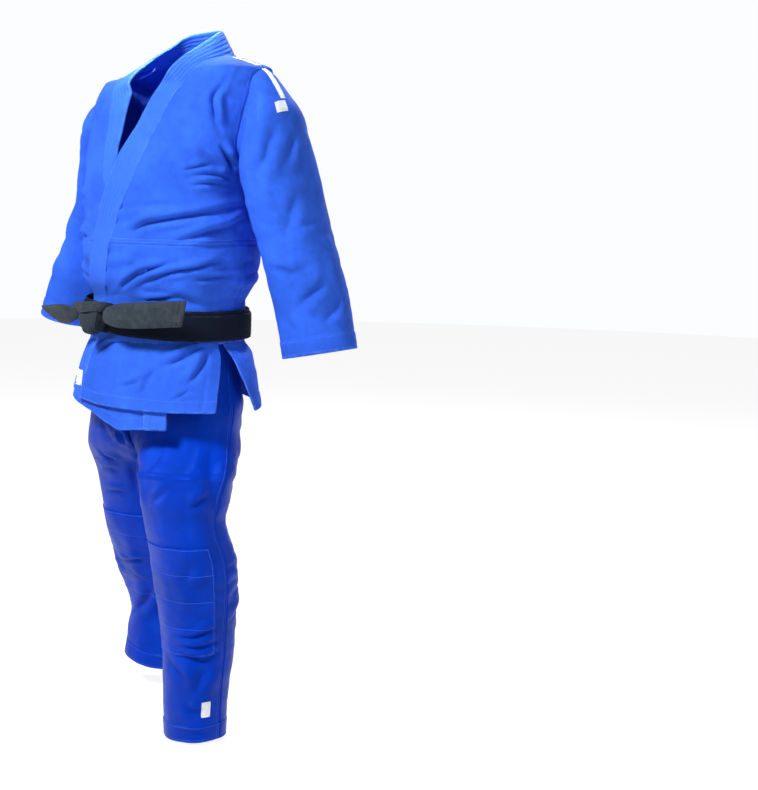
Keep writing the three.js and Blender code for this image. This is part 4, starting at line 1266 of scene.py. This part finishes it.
# Straps: a centre point, the way across and the width, all along the strap
OVER_STRIP = [
    [-96, -196, -576, 0, -0.5, 1, 30], [-82, -207, -572, 0, -0.45, 1, 27],
    [-64, -219, -568, 0, -0.35, 1, 24],
    [-44, -226, -565, 0, -0.1, 1, 21], [-24, -223, -563, 0.1, 0.1, 1, 20],
    [-9, -212, -563, 0.2, 0.3, 1, 20],
    [-4, -196, -566, 0.1, 0.3, 1, 20], [-6, -184, -568, 0, 0.2, 1, 20],
]
LEFT_TAIL = [
    [-9, -200, -584, 0, 0.1, 1, 20], [2, -209, -583, 0, -0.2, 1, 26], [20, -213, -580, 0, -0.12, 1, 38],
    [45, -211, -577.5, 0, 0, 1, 47], [85, -202, -575, 0, 0.03, 1, 50], [125, -186, -572, 0, 0.03, 1, 50],
    [166, -158, -569, 0, 0, 1, 50],
]
RIGHT_TAIL = [
    [-70, -209, -580, 0, -0.45, 1, 20], [-88, -211, -581, -0.1, -0.35, 1, 30],
    [-108, -210, -583, -0.15, -0.5, 1, 42], [-135, -202, -587, -0.2, -0.7, 1, 49],
    [-162, -190, -590, -0.3, -0.85, 1, 50], [-186, -178, -592, -0.35, -0.95, 1, 50],
]


def knot():
    verts, faces, weave = knot_bulge()
    over = shell(Strap(OVER_STRIP, step=2.2, ribs=4).cloth("strip", 1.5))
    made = mesh("belt_knot_tied", np.concatenate([verts, over[0]]),
                np.concatenate([faces, over[1] + len(verts)]), "belt_end", np.concatenate([weave, over[2]]))
    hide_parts("belt_knot")
    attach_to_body(made, "jacket")


def belt_end(name, strap, bow):
    end = strap.cloth(f"{name}_tail_strap", bow)
    end.stitched = [("right", 2), ("right", 4)]  # across the tip
    add(end, [f"{name}_belt_end"], "belt_end", f"{name}_tail")


knot()
belt_end("left", Strap(LEFT_TAIL, slant=9), 2.5)
belt_end("right", Strap(RIGHT_TAIL, slant=34), 3.0)


# ---- Trousers ----
def from_leg_axis(side):
    def towards(p):
        centre, _, _, middle = leg_row[hand(side)](p[..., 2])
        return p - points(side * centre, middle, p[..., 2])
    return towards


def leg_part(name, side, ends, above_hem, top, edges, thick, base, step=STEP):
    def at(u, v):
        s = mix(*ends, u)
        return leg(side, s, mix(hem_height(side, s) + above_hem, top, v))
    return Cloth(name, at, edges, leg_field(side), thick, base, step, from_leg_axis(side))


def on_leg(side, columns, rows):
    """A patch on the front of a leg, between columns and rows of the CAD's panel below the hip."""
    def at(u, v):
        s = mix(*FRONT_PANEL, mix(*columns, u) / PANEL_COLUMNS)
        return leg(side, s, mix(hem_height(side, s), LEG_SPLIT - GAP / 2, mix(*rows, v) / PANEL_ROWS))
    return at


def leg_bend(side):
    y = -190 if side > 0 else -106
    return ("trousers", f"{hand(side)}_leg", (side * 109, y, -840), (side * 109, y, -1070))


ON_DRILL = DRILL + GAP
FRONT_PANEL, PANEL_COLUMNS, PANEL_ROWS = (0.002, 0.4985), 8, 12
HALF = {"front": (-0.001, 0.5), "back": (0.491, 1.008)}
for side, name in SIDES:
    bend = leg_bend(side)
    for face, ends in HALF.items():
        joined = "seam" if face == "front" else "under"
        add(leg_part(f"{name}_trouser_{face}", side, ends, 0, BAND_BOTTOM - GAP,
                     along_edges(f"{joined} {joined} deep seam"), DRILL, 0.0),
            [f"{name}_{face}_seat", f"{name}_leg_{face}"], "trouser_drill", bend)
    add(Cloth(f"{name}_knee_patch_cloth", on_leg(side, (1, 7), (4, 9)), SEWN_DOWN, leg_field(side),
              DRILL, ON_DRILL - 0.4, STEP, from_leg_axis(side), (0.25, 0.5, 0.75)),
        [f"{name}_knee_patch"], "trouser_drill", bend)
    add(leg_part(f"{name}_hem_turn", side, (0.004, 0.996), 1.5, HEM[name] + 36, {"high": "patch"}, 1.0,
                 -GAP - 1.2, 6),
        [f"{name}_hem_facing"], "trouser_drill", bend)


add(Cloth("trouser_label", on_leg(1, (6.25, 6.95), (1.15, 1.85)), SEWN_DOWN, leg_field(1), TAPE,
          ON_DRILL - 0.2, 2, from_leg_axis(1)),
    ["trouser_badge"], "label", leg_bend(1))


def waistband(u, v):
    angle = 0.9994 * (2 * np.pi * u + 0.002)  # the ends just don't meet
    z = mix(BAND_BOTTOM, BAND_TOP, v)
    _, width, depth, centre = leg_row["left"](z)
    return points(width * np.cos(angle), centre + depth * np.sin(angle), z)


add(Cloth("waistband_channel", waistband, {"low": "seam", "high": "seam"},
          lambda p, n: 1.2 * waves(p, (18, 18, 90), 51), 2 * DRILL,
          towards=lambda p: p - points(0, -10, p[..., 2])),
    ["waistband"], "trouser_drill", "trousers")


def cord_loop(x):
    profile = [(0, 31), (-3.4, 29.6), (-6, 27), (-6.6, 22), (-6.6, 10), (-6, 5.5), (-3.4, 3), (0, 1.4)]
    _, _, depth, centre = leg_row["left"](BAND_TOP)
    y = centre - depth - 2 * DRILL
    line = smooth_line(profile)

    def at(u, v):
        yz = line(u * (len(profile) - 1))
        return points(x + (v - 0.5) * 10, y + yz[..., 0], BAND_BOTTOM + 3 + yz[..., 1])
    return at


for side, name in SIDES:
    add(Cloth(f"{name}_waist_loop", cord_loop(16 * side), {"low": "patch", "high": "patch"}, None, 1.4, 0.0,
              1.6, forwards),
        [f"{name}_cord_loop"], "trouser_drill", "trousers")


# ---- Camera, light and floor ----
def camera():
    distance, height, azimuth, lens = 3.0587, -0.3129, math.radians(43.26), 65.757
    yaw, pitch, roll = (math.radians(a) for a in (-8.051, -8.262, 1.237))
    place = Vector((distance * math.sin(azimuth), -distance * math.cos(azimuth), height))
    heading = math.atan2(-place.y, -place.x) + yaw
    look = Vector((math.cos(pitch) * math.cos(heading), math.cos(pitch) * math.sin(heading), math.sin(pitch)))
    right = look.cross(Vector((0, 0, 1))).normalized()
    up = right.cross(look)
    right, up = (right * math.cos(roll) + up * math.sin(roll), up * math.cos(roll) - right * math.sin(roll))
    data = bpy.data.cameras.new("camera")
    data.sensor_fit, data.sensor_width, data.lens = "AUTO", 36.0, lens
    made = in_scene("camera", data)
    turn = Matrix((right, up, -look)).transposed().to_4x4()
    made.matrix_world = Matrix.Translation(place + Vector(SHIFT / 1000)) @ turn
    bpy.context.scene.camera = made


def lamp(name, azimuth, elevation, distance, size, power, aim=(0, 0, -0.55), spread=180):
    """A square soft light, placed by its angles round what it is aimed at, as the views are."""
    a, e = math.radians(azimuth), math.radians(elevation)
    back = Vector((math.sin(a) * math.cos(e), -math.cos(a) * math.cos(e), math.sin(e)))
    data = bpy.data.lights.new(name, "AREA")
    data.shape, data.size, data.energy, data.spread = "SQUARE", size, power, math.radians(spread)
    made = in_scene(name, data)
    made.location = Vector(aim) + back * distance
    made.rotation_mode = "QUATERNION"
    made.rotation_quaternion = (-back).to_track_quat("-Z", "Y")


camera()
lamp("key", 0, 45, 3.2, 0.6, 165)
lamp("fill", 82, 24, 3.4, 1.0, 26)
lamp("back", 200, 42, 3.4, 0.7, 130)
lamp("neck", 12, 64, 0.6, 0.1, 0.85, (-0.02, 0.0, -0.04), 30)

world = bpy.data.worlds.new("studio")
world.use_nodes = True
sky = world.node_tree
seen = sky.nodes.new("ShaderNodeLightPath")
level_of = sky.nodes.new("ShaderNodeMapRange")
level_of.inputs["To Min"].default_value, level_of.inputs["To Max"].default_value = 0.17, 1.0
sky.links.new(seen.outputs["Is Camera Ray"], level_of.inputs["Value"])
sky.nodes["Background"].inputs[0].default_value = (0.97, 0.98, 1.0, 1)
sky.links.new(level_of.outputs["Result"], sky.nodes["Background"].inputs[1])
bpy.context.scene.world = world
bpy.context.scene.view_settings.view_transform = "Standard"
bpy.context.scene.view_settings.look = "None"


def floor():
    g = Graph("pale_floor")
    solid = g.add("TexCoord").outputs["Object"]
    grain = g.speckle(solid, 60.0, 4.0)
    tone = g.mixed(grain, (0.22, 0.22, 0.222, 1), (0.25, 0.25, 0.252, 1))
    material = g.finish(Base_Color=tone, Roughness=0.9, Specular_IOR_Level=0.1,
                        Emission_Color=(1, 1, 1, 1), Emission_Strength=0.88)
    t = np.linspace(0, 2 * np.pi, 97)[:-1]
    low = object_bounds()[0].z - 0.0005
    data = bpy.data.meshes.new("floor")
    data.from_pydata([(9 * math.cos(a), 9 * math.sin(a), low) for a in t], [], [tuple(range(96))])
    data.materials.append(material)
    in_scene("floor", data)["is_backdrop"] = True


floor()
